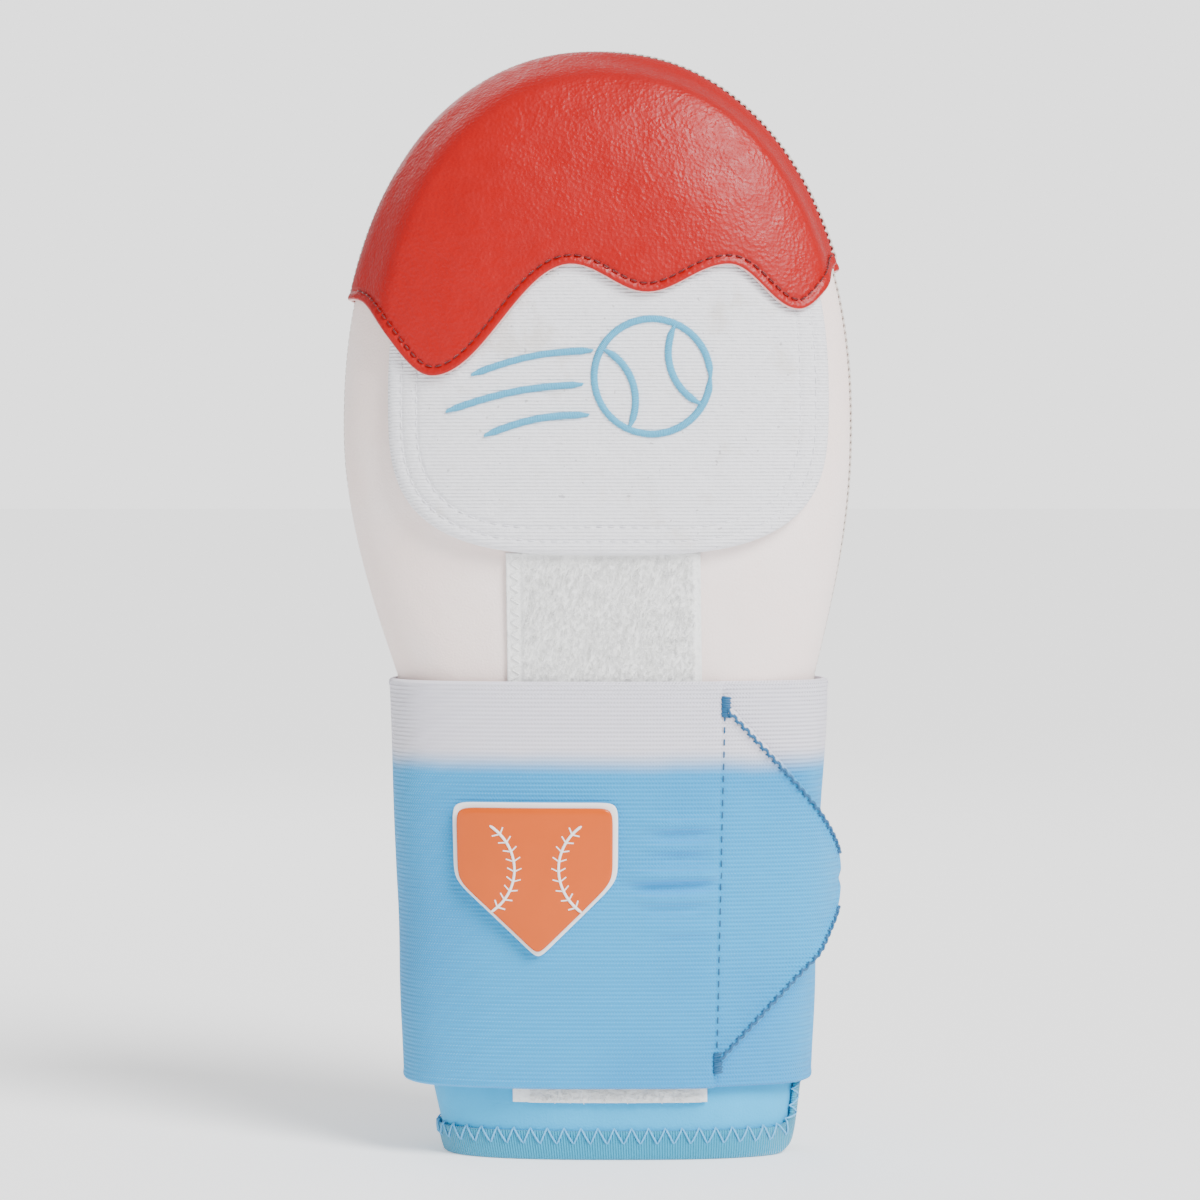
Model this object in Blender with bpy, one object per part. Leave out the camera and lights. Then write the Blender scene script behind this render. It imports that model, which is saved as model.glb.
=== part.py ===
"""Baseball sliding mitt: a padded neoprene mitt that stands on the hem of its cuff.

The back of the hand faces -Y, the fingertips point to +Z, and a wide elastic strap wraps the wrist.
Every soft piece is laid on one body form, which is described by the stations below.
"""

import math
from collections import namedtuple
from functools import lru_cache

import bmesh
import bpy
from mathutils import Vector

# Body form: heights above the floor, full widths, and depths in front of and behind the side seam
BODY_LENGTH = 0.2838
KNUCKLE_HEIGHT = 0.188
HAND_WIDTH = 0.132
HAND_FRONT = 0.026
HAND_PALM = 0.023
WRIST_WIDTH = 0.1086
WRIST_LEAN = 0.002
WRIST_FRONT = 0.0235
WRIST_PALM = 0.0245
CUFF_WIDTH = 0.0949
CUFF_LEAN = 0.0042
CUFF_FRONT = 0.0225
CUFF_PALM = 0.0225
HEM_WIDTH = 0.0885
HEM_LEAN = 0.0052
HEM_FRONT = 0.0212
HEM_PALM = 0.0212
SECTION_POWER = 2.6
DOME_POWER = 2.2
NOSE_POWER = 2.6

# Cloth walls and the gaps between layers
NEOPRENE = 0.0035
LEATHER = 0.0013
LAYER_GAP = 0.0004
SEAM_GAP = 0.0003

# Side seams: how far the right one leads towards the back of the hand and the left one hides behind
SEAM_LEAD = 0.005
SEAM_WRAP = 0.007
SEAM_WRAP_HEIGHT = 0.177
SEAM_TURN_RISE = 0.017

# Elastic strap
STRAP_WIDTH = 0.104
STRAP_HEM_HEIGHT = 0.019
STRAP_THICKNESS = 0.0016
STRAP_EASE_LEFT = 0.0053
STRAP_EASE_RIGHT = 0.0004
STRAP_EASE_DEPTH = 0.0015
TAB_SEAM_X = 0.0302
TAB_LENGTH = 0.040
TAB_SHOULDER = 0.0045
TAB_NOSE = 0.009
TAB_LIFT = 0.0030
STRAP_UNDERLAP = 0.001
# Angles over which it comes down off the binding, counted from the slit, and up onto its first layer
OVER_BINDING = (0.42, 0.9)
SECOND_LAYER = (0.05, 0.75)
WRIST_MARGIN = 0.001

# Slit at the right of the cuff and the stretch tape that binds the cuff's free edge
SLIT_TOP_BELOW_STRAP = 0.018
SLIT_OPENING = 0.0024
SLIT_CLOSE = 0.006
CORNER_RUN = 0.013
CORNER_RISE = 0.0105
BINDING_WIDTH = 0.0076
BINDING_THICKNESS = 0.0009

# Knuckle pad: a stuffed patch whose upper part runs on under the leather
PAD_WIDTH = 0.110
PAD_CENTRE = 0.0025
PAD_BOTTOM = 0.1553
PAD_WIDEST_ABOVE = 0.007
PAD_TIP_INSET = 0.010
PAD_THICKNESS = 0.004
PAD_CORNER_POWER = 3.2

# Leather caps over the fingertips
DRIP_CREST_HEIGHT = 0.2283
DRIP_DROP = 0.0278
CAP_MARGIN = 0.0025
CAP_SKIRT = 0.0088
PALM_CAP_LEFT = 0.2215
PALM_CAP_RIGHT = 0.2305
PALM_CAP_SAG = 0.014

# Loop tape down the middle of the back
TAPE_WIDTH = 0.0494
TAPE_CENTRE = 0.0013
TAPE_THICKNESS = 0.0012
TAPE_HEM_HEIGHT = 0.0151

# Moulded badge on the strap: a backing with a domed face, in the outline of a home plate
BADGE_WIDTH = 0.040
BADGE_X = -0.015
BADGE_HEIGHT = 0.0723
BADGE_BACKING = 0.001
BADGE_FACE = 0.0014
BADGE_RIM = 0.0013
BADGE_CORNER_POWER = 16

# Heights that follow from the sizes above
PAD_WIDEST_HEIGHT = KNUCKLE_HEIGHT + PAD_WIDEST_ABOVE
STRAP_TOP = STRAP_HEM_HEIGHT + STRAP_WIDTH
WRIST_HEIGHT = STRAP_TOP + WRIST_MARGIN
SLIT_TOP = STRAP_TOP - SLIT_TOP_BELOW_STRAP
DOME_HEIGHT = BODY_LENGTH - KNUCKLE_HEIGHT
PAD_TOP = BODY_LENGTH - PAD_TIP_INSET
EDGE_INSET = BINDING_THICKNESS + LAYER_GAP
STRAP_MIDDLE = STRAP_HEM_HEIGHT + STRAP_WIDTH / 2

# Facets: columns round each panel, rows up the fingers' dome, and stations along half the hem
PANEL_COLUMNS = 24
DOME_STEPS = 8
HEM_STEPS = 20

Form = namedtuple("Form", "left right front palm")
Station = namedtuple("Station", "height width lean front palm")
STATIONS = (
    Station(0.0, HEM_WIDTH, HEM_LEAN, HEM_FRONT, HEM_PALM),
    Station(STRAP_HEM_HEIGHT, CUFF_WIDTH, CUFF_LEAN, CUFF_FRONT, CUFF_PALM),
    Station(WRIST_HEIGHT, WRIST_WIDTH, WRIST_LEAN, WRIST_FRONT, WRIST_PALM),
    Station(KNUCKLE_HEIGHT, HAND_WIDTH, 0.0, HAND_FRONT, HAND_PALM),
)

# Turning points of the dripping leather edge, left to right: x as a share of half the hand's
# width, and how far the edge hangs below its crests as a share of the longest drip
Turn = namedtuple("Turn", "across drop")
DRIP_TURNS = (
    Turn(-0.94, 0.28),
    Turn(-0.618, 1.0),
    Turn(-0.103, 0.0),
    Turn(0.185, 0.25),
    Turn(0.488, 0.0),
    Turn(0.741, 0.40),
    Turn(0.992, -0.20),
)

# Outlines across a stuffed patch and across the badge's dome: distance from the middle as a share
# of the outline, and height as a share of the thickness
Ring = namedtuple("Ring", "out up")
PAD_RINGS = (
    *(Ring(out, 0.0) for out in (0.0, 0.25, 0.45, 0.60, 0.72, 0.83, 0.92)),
    Ring(0.99, 0.06),
    Ring(1.0, 0.45),
    Ring(0.985, 0.85),
    Ring(0.955, 1.0),
    *(Ring(out, 1.0) for out in (0.83, 0.72, 0.60, 0.45, 0.25, 0.0)),
)
BACKING_RINGS = (Ring(0, 0), Ring(0.5, 0), Ring(1, 0), Ring(1, 1), Ring(0.5, 1), Ring(0, 1))
FACE_RINGS = (
    *(Ring(0, 0), Ring(0.5, 0), Ring(1, 0)),
    *(Ring(1, 0.35), Ring(0.965, 0.75), Ring(0.88, 1), Ring(0.45, 1), Ring(0, 1)),
)

WHITE_NEOPRENE = ((0.86, 0.82, 0.81), 0.62)
RED_LEATHER = ((0.62, 0.004, 0.012), 0.42)
PAD_FABRIC = ((0.80, 0.80, 0.83), 0.9)
LOOP_FABRIC = ((0.88, 0.88, 0.87), 0.95)
STRAP_ELASTIC = ((0.16, 0.50, 0.84), 0.8)
BINDING_RIB = ((0.08, 0.46, 0.66), 0.75)
BADGE_WHITE = ((0.88, 0.88, 0.88), 0.3)
BADGE_ORANGE = ((0.95, 0.22, 0.005), 0.15)


# Small helpers
def mix(a, b, share):
    return a + (b - a) * share


def smooth(value, low, high):
    """0 below low, 1 above high, and a smooth S between."""
    share = min(1.0, max(0.0, (value - low) / (high - low)))
    return share * share * (3 - 2 * share)


def signed_power(value, power):
    return math.copysign(abs(value) ** power, value)


# Body form
def dome_angle(height):
    """Angle up the dome of the fingers, 0 at the knuckles and a quarter turn at the tip."""
    share = min(1.0, max(0.0, (height - KNUCKLE_HEIGHT) / DOME_HEIGHT))
    return math.asin(share ** (DOME_POWER / 2))


def climb_at(height):
    """How far up the mitt a height is: -1 at the floor, 0 at the knuckles, 1 at the tip."""
    if height <= KNUCKLE_HEIGHT:
        return height / KNUCKLE_HEIGHT - 1
    return dome_angle(height) / (math.pi / 2)


def height_at(climb):
    if climb <= 0:
        return KNUCKLE_HEIGHT * (1 + climb)
    return KNUCKLE_HEIGHT + DOME_HEIGHT * math.sin(climb * math.pi / 2) ** (2 / DOME_POWER)


@lru_cache(maxsize=None)
def body_form(climb):
    """Left and right edge and the two depths of the body at this climb."""
    if climb > 0:
        angle = min(climb, 1) * math.pi / 2
        narrow = max(0.0, math.cos(angle)) ** (2 / DOME_POWER)
        share = (height_at(min(climb, 1)) - KNUCKLE_HEIGHT) / DOME_HEIGHT
        thin = max(0.0, 1 - share**NOSE_POWER) ** 0.5
        half = HAND_WIDTH / 2 * narrow
        return Form(-half, half, HAND_FRONT * thin, HAND_PALM * thin)
    height = height_at(climb)
    lower, upper = STATIONS[0], STATIONS[1]
    for lower, upper in zip(STATIONS, STATIONS[1:]):
        if height <= upper.height:
            break
    share = (height - lower.height) / (upper.height - lower.height)
    if upper is STATIONS[-1]:
        share = math.sin(min(1.0, share) * math.pi / 2)
    half = mix(lower.width, upper.width, share) / 2
    lean = mix(lower.lean, upper.lean, share)
    front = mix(lower.front, upper.front, share)
    return Form(lean - half, lean + half, front, mix(lower.palm, upper.palm, share))


def section_point(form, angle):
    """Point of a section: angle 0 is the left side, a quarter turn the front, a half turn the right."""
    c = signed_power(math.cos(angle), 2 / SECTION_POWER)
    s = signed_power(math.sin(angle), 2 / SECTION_POWER)
    half = (form.right - form.left) / 2
    depth = form.front if s > 0 else form.palm
    return Vector(((form.left + form.right) / 2 - half * c, -depth * s))


def skin(angle, climb, offset=0.0):
    """Point on the body's outer skin, moved outwards along its normal by the offset."""
    flat = section_point(body_form(climb), angle)
    here = Vector((*flat, height_at(climb)))
    if climb > 1 - 1e-6:
        return here + Vector((0, 0, offset))
    if offset == 0:
        return here
    step = 1e-3
    ahead = section_point(body_form(climb), angle + step)
    behind = section_point(body_form(climb), angle - step)
    upper, lower = min(1.0, climb + step), max(-1.0, climb - step)
    rise = Vector((*section_point(body_form(upper), angle), height_at(upper)))
    rise -= Vector((*section_point(body_form(lower), angle), height_at(lower)))
    around = Vector((*(ahead - behind), 0))
    return here + around.cross(rise).normalized() * offset


@lru_cache(maxsize=None)
def girth_table(climb):
    """Angles of a section and their distances round it, from its right side over the front and back again."""
    count = 400
    angles = [math.pi - 2 * math.pi * i / count for i in range(count + 1)]
    points = [section_point(body_form(climb), angle) for angle in angles]
    distances = [0.0]
    for a, b in zip(points, points[1:]):
        distances.append(distances[-1] + (b - a).length)
    return angles, distances


def read_table(keys, values, key):
    """Value at a key, on straight lines between the rows of a rising table."""
    low, high = 0, len(keys) - 1
    while high - low > 1:
        middle = (low + high) // 2
        low, high = (middle, high) if keys[middle] <= key else (low, middle)
    return mix(values[low], values[high], (key - keys[low]) / (keys[high] - keys[low]))


def angle_along(climb, distance):
    """Angle of the point this far round the section from its right side, over the front first."""
    angles, distances = girth_table(climb)
    turns = distance // distances[-1]
    return read_table(distances, angles, distance - turns * distances[-1]) - 2 * math.pi * turns


def girth(climb):
    return girth_table(climb)[1][-1]


def distance_to(climb, angle):
    angles, distances = girth_table(climb)
    return read_table([-a for a in angles], distances, -angle)


def angle_between(climb, first, last, share):
    """Angle at this share of the turn between two distances, so that columns crowd where the side bends."""
    return mix(angle_along(climb, first), angle_along(climb, last), share)


def front_angle(climb, x):
    """Angle of the point on the front at this x."""
    form = body_form(climb)
    share = (x - (form.left + form.right) / 2) / ((form.right - form.left) / 2)
    share = max(-1.0, min(1.0, share))
    return math.acos(-signed_power(share, SECTION_POWER / 2))


# Edges of the two body panels
def left_seam(climb):
    """Distance round the section to the left seam, which turns behind the hand at the wrist."""
    wrap = SEAM_WRAP * (1 - smooth(height_at(climb), SEAM_WRAP_HEIGHT - SEAM_TURN_RISE, SEAM_WRAP_HEIGHT))
    return distance_to(climb, 0.0) + wrap


def right_seam(climb):
    """Distance from the right side to the right seam, which leads towards the front above the wrist."""
    return SEAM_LEAD * smooth(height_at(climb), WRIST_HEIGHT, KNUCKLE_HEIGHT) * (1 - max(0, climb) ** 4)


def edge_back_off(height):
    """How far a panel's edge stays back from the right seam: the slit, and the round corner at the hem."""
    back_off = (SLIT_OPENING / 2 + EDGE_INSET) * (1 - smooth(height, SLIT_TOP, SLIT_TOP + SLIT_CLOSE))
    if height < CORNER_RISE:
        share = min(1.0, (CORNER_RISE - height) / (CORNER_RISE - EDGE_INSET))
        back_off += (CORNER_RUN - EDGE_INSET) * (1 - math.sqrt(1 - share * share))
    return back_off


def heights_between(low, high, count):
    return [mix(low, high, i / count) for i in range(count)]


def body_climbs():
    """Rows of the body panels, with one at each height where the form turns."""
    heights = [EDGE_INSET, mix(EDGE_INSET, CORNER_RISE, 0.12), mix(EDGE_INSET, CORNER_RISE, 0.45)]
    heights += [CORNER_RISE, STRAP_HEM_HEIGHT]
    heights += heights_between(STRAP_HEM_HEIGHT, SLIT_TOP, 3)[1:]
    heights += [SLIT_TOP, SLIT_TOP + SLIT_CLOSE]
    heights += heights_between(WRIST_HEIGHT, KNUCKLE_HEIGHT, 5)
    return [climb_at(height) for height in heights] + [i / DOME_STEPS for i in range(DOME_STEPS + 1)]


# Building blocks
def finish(mesh_data, name, look):
    """A smooth-shaded object with a plain finish."""
    mesh = bpy.data.meshes.new(name)
    mesh_data.to_mesh(mesh)
    mesh_data.free()
    mesh.shade_smooth()
    mesh.set_sharp_from_angle(angle=math.radians(40))
    colour, roughness = look
    material = bpy.data.materials.new(name)
    material.use_nodes = True
    shader = material.node_tree.nodes["Principled BSDF"]
    shader.inputs["Base Color"].default_value = (*colour, 1)
    shader.inputs["Roughness"].default_value = roughness
    shader.inputs["Metallic"].default_value = 0.0
    mesh.materials.append(material)
    obj = bpy.data.objects.new(name, mesh)
    bpy.context.scene.collection.objects.link(obj)
    return obj


def cleaned(bm):
    bmesh.ops.remove_doubles(bm, verts=bm.verts, dist=1e-6)
    bmesh.ops.recalc_face_normals(bm, faces=bm.faces)
    return bm


def cloth(name, look, columns, rows, place):
    """A slab of cloth: place(across, along, inner) puts each point, with across and along from 0 to 1."""
    bm = bmesh.new()
    bmesh.ops.create_grid(bm, x_segments=columns, y_segments=rows, size=0.5)
    lifted = bmesh.ops.extrude_face_region(bm, geom=bm.faces[:])["geom"]
    lifted = [part for part in lifted if isinstance(part, bmesh.types.BMVert)]
    bmesh.ops.translate(bm, verts=lifted, vec=(0, 0, 1))
    for vertex in bm.verts:
        across, along, inner = vertex.co + Vector((0.5, 0.5, 0))
        vertex.co = place(round(across * columns) / columns, round(along * rows) / rows, round(inner))
    return finish(cleaned(bm), name, look)


def turned(name, look, rings, segments, place):
    """A closed patch: the rings are spun round, then place(turn, out, up) puts each point."""
    bm = bmesh.new()
    verts = [bm.verts.new((ring.out, 0, ring.up)) for ring in rings]
    edges = [bm.edges.new(pair) for pair in zip(verts, verts[1:])]
    full = {"axis": (0, 0, 1), "cent": (0, 0, 0), "angle": 2 * math.pi, "use_merge": True}
    bmesh.ops.spin(bm, geom=[*verts, *edges], steps=segments, **full)
    bmesh.ops.remove_doubles(bm, verts=bm.verts, dist=1e-5)
    for vertex in bm.verts:
        x, y, up = vertex.co
        vertex.co = place(math.atan2(y, x), math.hypot(x, y), up)
    return finish(cleaned(bm), name, look)


def ribbon(name, look, profile, stations, place):
    """A closed profile swept along stations: place(station, corner) puts each point."""
    bm = bmesh.new()
    loops = []
    for station in stations:
        corners = [bm.verts.new(place(station, corner)) for corner in profile]
        loops.append([bm.edges.new((a, b)) for a, b in zip(corners, corners[1:] + corners[:1])])
    bmesh.ops.contextual_create(bm, geom=loops[0])
    bmesh.ops.contextual_create(bm, geom=loops[-1])
    for first, second in zip(loops, loops[1:]):
        for i in range(len(profile)):
            a, b = first[i].verts
            c, d = second[i].verts
            bm.faces.new((a, b, d, c))
    return finish(cleaned(bm), name, look)


# Body panels
def build_back_panel():
    climbs = body_climbs()

    def place(across, along, inner):
        climb = climbs[round(along * (len(climbs) - 1))]
        last = right_seam(climb) + edge_back_off(height_at(climb))
        angle = angle_between(climb, left_seam(climb), last, across)
        return skin(angle, climb, -NEOPRENE * inner) - Vector((0, SEAM_GAP / 2, 0))

    return cloth("back_panel", WHITE_NEOPRENE, PANEL_COLUMNS, len(climbs) - 1, place)


def build_palm_panel():
    climbs = body_climbs()

    def place(across, along, inner):
        climb = climbs[round(along * (len(climbs) - 1))]
        last = girth(climb) + right_seam(climb) - edge_back_off(height_at(climb))
        angle = angle_between(climb, left_seam(climb), last, across)
        return skin(angle, climb, -NEOPRENE * inner) + Vector((0, SEAM_GAP / 2, 0))

    return cloth("palm_panel", WHITE_NEOPRENE, PANEL_COLUMNS, len(climbs) - 1, place)


# Knuckle pad
def pad_outline(turn):
    """Outline of the pad seen from the front, by turn from its right side: x from its middle and height."""
    half = PAD_WIDTH / 2
    c, s = math.cos(turn), math.sin(turn)
    power, reach = (DOME_POWER, PAD_TOP) if s > 0 else (PAD_CORNER_POWER, PAD_BOTTOM)
    up = abs(s) ** (2 / power) * (reach - PAD_WIDEST_HEIGHT)
    return half * signed_power(c, 2 / power), PAD_WIDEST_HEIGHT + up


def pad_reach(x, height):
    """How far a point of the front lies outside the pad's outline; negative inside."""
    across, up = x - PAD_CENTRE, height - PAD_WIDEST_HEIGHT
    power, reach = (DOME_POWER, PAD_TOP) if up > 0 else (PAD_CORNER_POWER, PAD_BOTTOM)
    reach = abs(reach - PAD_WIDEST_HEIGHT)
    level = (abs(across / (PAD_WIDTH / 2)) ** power + abs(up / reach) ** power) ** (1 / power)
    return math.hypot(across, up) * (1 - 1 / max(level, 1e-6))


def front_point(x, height, offset):
    """Point over the back panel at this x and height."""
    climb = climb_at(height)
    return skin(front_angle(climb, x), climb, offset) - Vector((0, SEAM_GAP / 2, 0))


def build_knuckle_pad():
    def place(turn, out, up):
        x, height = pad_outline(turn)
        x, height = PAD_CENTRE + x * out, mix(PAD_WIDEST_HEIGHT, height, out)
        return front_point(x, height, LAYER_GAP + PAD_THICKNESS * up)

    return turned("knuckle_pad", PAD_FABRIC, PAD_RINGS, 40, place)


# Leather caps
def drip_edge(x):
    """Height of the dripping edge at this x, on half waves between its turning points."""
    share = x / (HAND_WIDTH / 2)
    if share <= DRIP_TURNS[0].across:
        drop = DRIP_TURNS[0].drop
    else:
        for first, second in zip(DRIP_TURNS, DRIP_TURNS[1:]):
            if share <= second.across:
                break
        wave = min(1.0, (share - first.across) / (second.across - first.across))
        drop = mix(first.drop, second.drop, (1 - math.cos(math.pi * wave)) / 2)
    return DRIP_CREST_HEIGHT - DRIP_DROP * drop


def palm_edge(x):
    """Height of the palm cap's plain, sagging edge at this x."""
    share = max(-1.0, min(1.0, x / (HAND_WIDTH / 2)))
    return mix(PALM_CAP_LEFT, PALM_CAP_RIGHT, (share + 1) / 2) - PALM_CAP_SAG * (1 - share * share)


def cap_angle(climb, across, palm):
    last = right_seam(climb) + (girth(climb) if palm else 0)
    return angle_between(climb, left_seam(climb), last, across)


def edge_climb(across, palm):
    """Climb where a column of a cap meets the cap's lower edge, found by halving."""
    edge = palm_edge if palm else drip_edge
    low, high = climb_at(DRIP_CREST_HEIGHT - 1.5 * DRIP_DROP), climb_at(DRIP_CREST_HEIGHT + DRIP_DROP)
    for _ in range(30):
        middle = (low + high) / 2
        point = skin(cap_angle(middle, across, palm), middle)
        low, high = (middle, high) if point.z < edge(point.x) else (low, middle)
    return low


def pad_rise(point):
    """How much the pad under the leather lifts it at a point of the front."""
    lift = 1 - smooth(pad_reach(point.x, point.z), CAP_MARGIN, CAP_SKIRT)
    return (PAD_THICKNESS + LAYER_GAP) * lift


def build_cap(name, palm, columns, rows):
    """A leather cap from its lower edge up to the tip, lying on the body and on the pad."""
    starts = [edge_climb(i / columns, palm) for i in range(columns + 1)]
    shift = Vector((0, SEAM_GAP / 2 if palm else -SEAM_GAP / 2, 0))

    def place(across, along, outer):
        climb = mix(starts[round(across * columns)], 1.0, along)
        angle = cap_angle(climb, across, palm)
        offset = LAYER_GAP + LEATHER * outer
        if not palm:
            offset += pad_rise(skin(angle, climb))
        return skin(angle, climb, offset) + shift

    return cloth(name, RED_LEATHER, columns, rows, place)


# Loop tape
def build_loop_tape():
    top = PAD_BOTTOM - LAYER_GAP

    def place(across, along, outer):
        x = TAPE_CENTRE + TAPE_WIDTH * (across - 0.5)
        return front_point(x, mix(TAPE_HEM_HEIGHT, top, along), LAYER_GAP + TAPE_THICKNESS * outer)

    return cloth("loop_tape", LOOP_FABRIC, 6, 14, place)


# Binding of the cuff
def binding_route():
    """The tape's fold line as (distance from the slit, height, inward turn), over the front and back."""
    near = SLIT_OPENING / 2
    floor = climb_at(0)
    half = [(near, height, 0.0) for height in heights_between(SLIT_TOP, CORNER_RISE, 8)]
    for i in range(6):
        turn = i / 5 * math.pi / 2
        run = near + CORNER_RUN * (1 - math.cos(turn))
        half.append((run, CORNER_RISE * (1 - math.sin(turn)), turn))
    corner = angle_along(floor, near + CORNER_RUN)
    hem = [distance_to(floor, mix(corner, 0.0, i / HEM_STEPS)) for i in range(1, HEM_STEPS + 1)]
    half += [(distance, 0.0, math.pi / 2) for distance in hem]
    back = [(-distance, height, math.pi - turn) for distance, height, turn in reversed(half[:-1])]
    return [*half, *back]


def build_cuff_binding():
    """A folded tape in a U over the cuff's free edge: up the slit, round the corners, along the hem."""
    inner = -NEOPRENE - LAYER_GAP
    outer = LAYER_GAP + BINDING_THICKNESS
    reach = [mix(BINDING_THICKNESS, BINDING_WIDTH, i / 2) for i in range(3)]
    profile = [(outer, 0.0)]
    profile += [(outer, inward) for inward in reach[1:]]
    profile += [(LAYER_GAP, inward) for inward in reversed(reach)]
    profile += [(inner, inward) for inward in reach]
    profile += [(inner - BINDING_THICKNESS, inward) for inward in reversed(reach[1:])]
    profile += [(inner - BINDING_THICKNESS, 0.0)]

    def place(station, corner):
        distance, height, turn = station
        offset, inward = corner
        distance += inward * math.cos(turn)
        climb = climb_at(height + inward * math.sin(turn))
        widening = girth(climb) / girth(climb_at(0))
        distance *= mix(1, widening, math.sin(turn))
        flat = skin(angle_along(climb, distance), climb, offset).xy
        return Vector((*flat, height + inward * math.sin(turn)))

    return ribbon("cuff_binding", BINDING_RIB, profile, binding_route(), place)


# Elastic strap
def strap_form(height):
    """The form that the strap lies on: the body's, with more ease towards the strap's lower edge."""
    body = body_form(climb_at(height))
    ease = 1 - (height - STRAP_HEM_HEIGHT) / STRAP_WIDTH
    depth = STRAP_EASE_DEPTH * ease
    left, right = body.left - STRAP_EASE_LEFT * ease, body.right + STRAP_EASE_RIGHT * ease
    return Form(left, right, body.front + depth, body.palm + depth)


def strap_angle_at(x):
    form = strap_form(STRAP_MIDDLE)
    share = (x - (form.left + form.right) / 2) / ((form.right - form.left) / 2)
    return math.acos(-signed_power(share, SECTION_POWER / 2))


def strap_lift(angle):
    """How far the strap's inner face stands off its form at this angle, counted on past a full turn."""
    from_side = abs(angle % (2 * math.pi) - math.pi)
    over_binding = 1 - smooth(from_side, *OVER_BINDING)
    second_layer = smooth(angle - 2 * math.pi, *SECOND_LAYER)
    tab = smooth(angle, 2 * math.pi + strap_angle_at(TAB_SEAM_X), 3 * math.pi)
    lift = LAYER_GAP + SEAM_GAP / 2 + (BINDING_THICKNESS + LAYER_GAP) * over_binding
    return lift + (STRAP_THICKNESS + LAYER_GAP) * second_layer + TAB_LIFT * tab


def strap_point(angle, height, offset):
    """Point on the strap's inner face at this angle, moved outwards by the offset."""
    form = strap_form(height)
    step = 1e-3
    here = section_point(form, angle)
    along = section_point(form, angle + step) - section_point(form, angle - step)
    normal = Vector((along.y, -along.x)).normalized()
    flat = here + normal * (strap_lift(angle) + offset)
    return Vector((*flat, height))


def strap_route(columns):
    """Angles of the strap's columns at even distances, and the distance of each from the tab's seam."""
    first = strap_angle_at(TAB_SEAM_X - STRAP_UNDERLAP)
    seam = strap_angle_at(TAB_SEAM_X) + 2 * math.pi
    count = 900
    angles = [mix(first, 3.6 * math.pi, i / count) for i in range(count + 1)]
    distances = [0.0]
    for a, b in zip(angles, angles[1:]):
        step = strap_point(b, STRAP_MIDDLE, 0) - strap_point(a, STRAP_MIDDLE, 0)
        distances.append(distances[-1] + step.length)
    to_seam = read_table(angles, distances, seam)
    places = [mix(0, to_seam, i / columns) for i in range(columns + 1)]
    tab_columns = 10
    places += [to_seam + mix(TAB_SHOULDER / 4, TAB_LENGTH, i / tab_columns) for i in range(tab_columns + 1)]
    return [(read_table(distances, angles, place), place - to_seam) for place in places]


def strap_edges(past_seam):
    """Lower and upper edge of the strap, which narrows to a blunt point beyond the tab's seam."""
    if past_seam <= 1e-9:
        inset = 0.0
    else:
        inset = mix(TAB_SHOULDER, (STRAP_WIDTH - TAB_NOSE) / 2, past_seam / TAB_LENGTH)
    return STRAP_HEM_HEIGHT + inset, STRAP_TOP - inset


def build_wrist_strap():
    route = strap_route(70)
    last = len(route) - 1

    def place(across, along, outer):
        angle, past_seam = route[round(along * last)]
        low, high = strap_edges(past_seam)
        return strap_point(angle, mix(low, high, across), STRAP_THICKNESS * outer)

    return cloth("wrist_strap", STRAP_ELASTIC, 3, last, place)


# Badge
def plate_outline(turn, half):
    """Distance from the badge's middle to its rounded home-plate outline."""
    faces = ((math.pi / 2, 1), (0, 1), (math.pi, 1), (-math.pi / 4, 0.5**0.5), (-3 * math.pi / 4, 0.5**0.5))
    total = 0.0
    for facing, reach in faces:
        total += (max(0.0, math.cos(turn - facing)) / (half * reach)) ** BADGE_CORNER_POWER
    return total ** (-1 / BADGE_CORNER_POWER)


def build_badge_piece(name, look, rings, half, base, thickness):
    def place(turn, out, up):
        reach = plate_outline(turn, half) * out
        angle = 2 * math.pi + strap_angle_at(BADGE_X + reach * math.cos(turn))
        height = BADGE_HEIGHT + reach * math.sin(turn)
        return strap_point(angle, height, STRAP_THICKNESS + base + thickness * up)

    return turned(name, look, rings, 40, place)


def build_badge():
    half = BADGE_WIDTH / 2
    build_badge_piece("badge_backing", BADGE_WHITE, BACKING_RINGS, half, LAYER_GAP, BADGE_BACKING)
    base = LAYER_GAP + BADGE_BACKING + SEAM_GAP
    build_badge_piece("badge_face", BADGE_ORANGE, FACE_RINGS, half - BADGE_RIM, base, BADGE_FACE)


def stand_on_origin():
    """Moves every piece so that the middle of the whole mitt's foot is the origin."""
    meshes = [obj.data for obj in bpy.context.scene.objects]
    points = [vertex.co for mesh in meshes for vertex in mesh.vertices]
    low = Vector(min(point[i] for point in points) for i in range(3))
    high = Vector(max(point[i] for point in points) for i in range(3))
    foot = Vector(((low.x + high.x) / 2, (low.y + high.y) / 2, low.z))
    for mesh in meshes:
        for vertex in mesh.vertices:
            vertex.co -= foot


def main():
    for obj in list(bpy.data.objects):
        bpy.data.objects.remove(obj)
    build_back_panel()
    build_palm_panel()
    build_knuckle_pad()
    build_cap("finger_cap", False, 28, 11)
    build_cap("palm_cap", True, 26, 9)
    build_loop_tape()
    build_cuff_binding()
    build_wrist_strap()
    build_badge()
    stand_on_origin()


main()
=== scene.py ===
"""Baseball sliding mitt: neoprene, leather, ribbed pad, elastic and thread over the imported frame.

The soft pieces are laid on the same body form as the frame's solids, at a finer pitch.
"""

import math
import random
from collections import namedtuple
from functools import lru_cache

import bmesh
import bpy
from bpy.props import FloatProperty, FloatVectorProperty, IntProperty, PointerProperty
from mathutils import Matrix, Vector, noise


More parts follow.
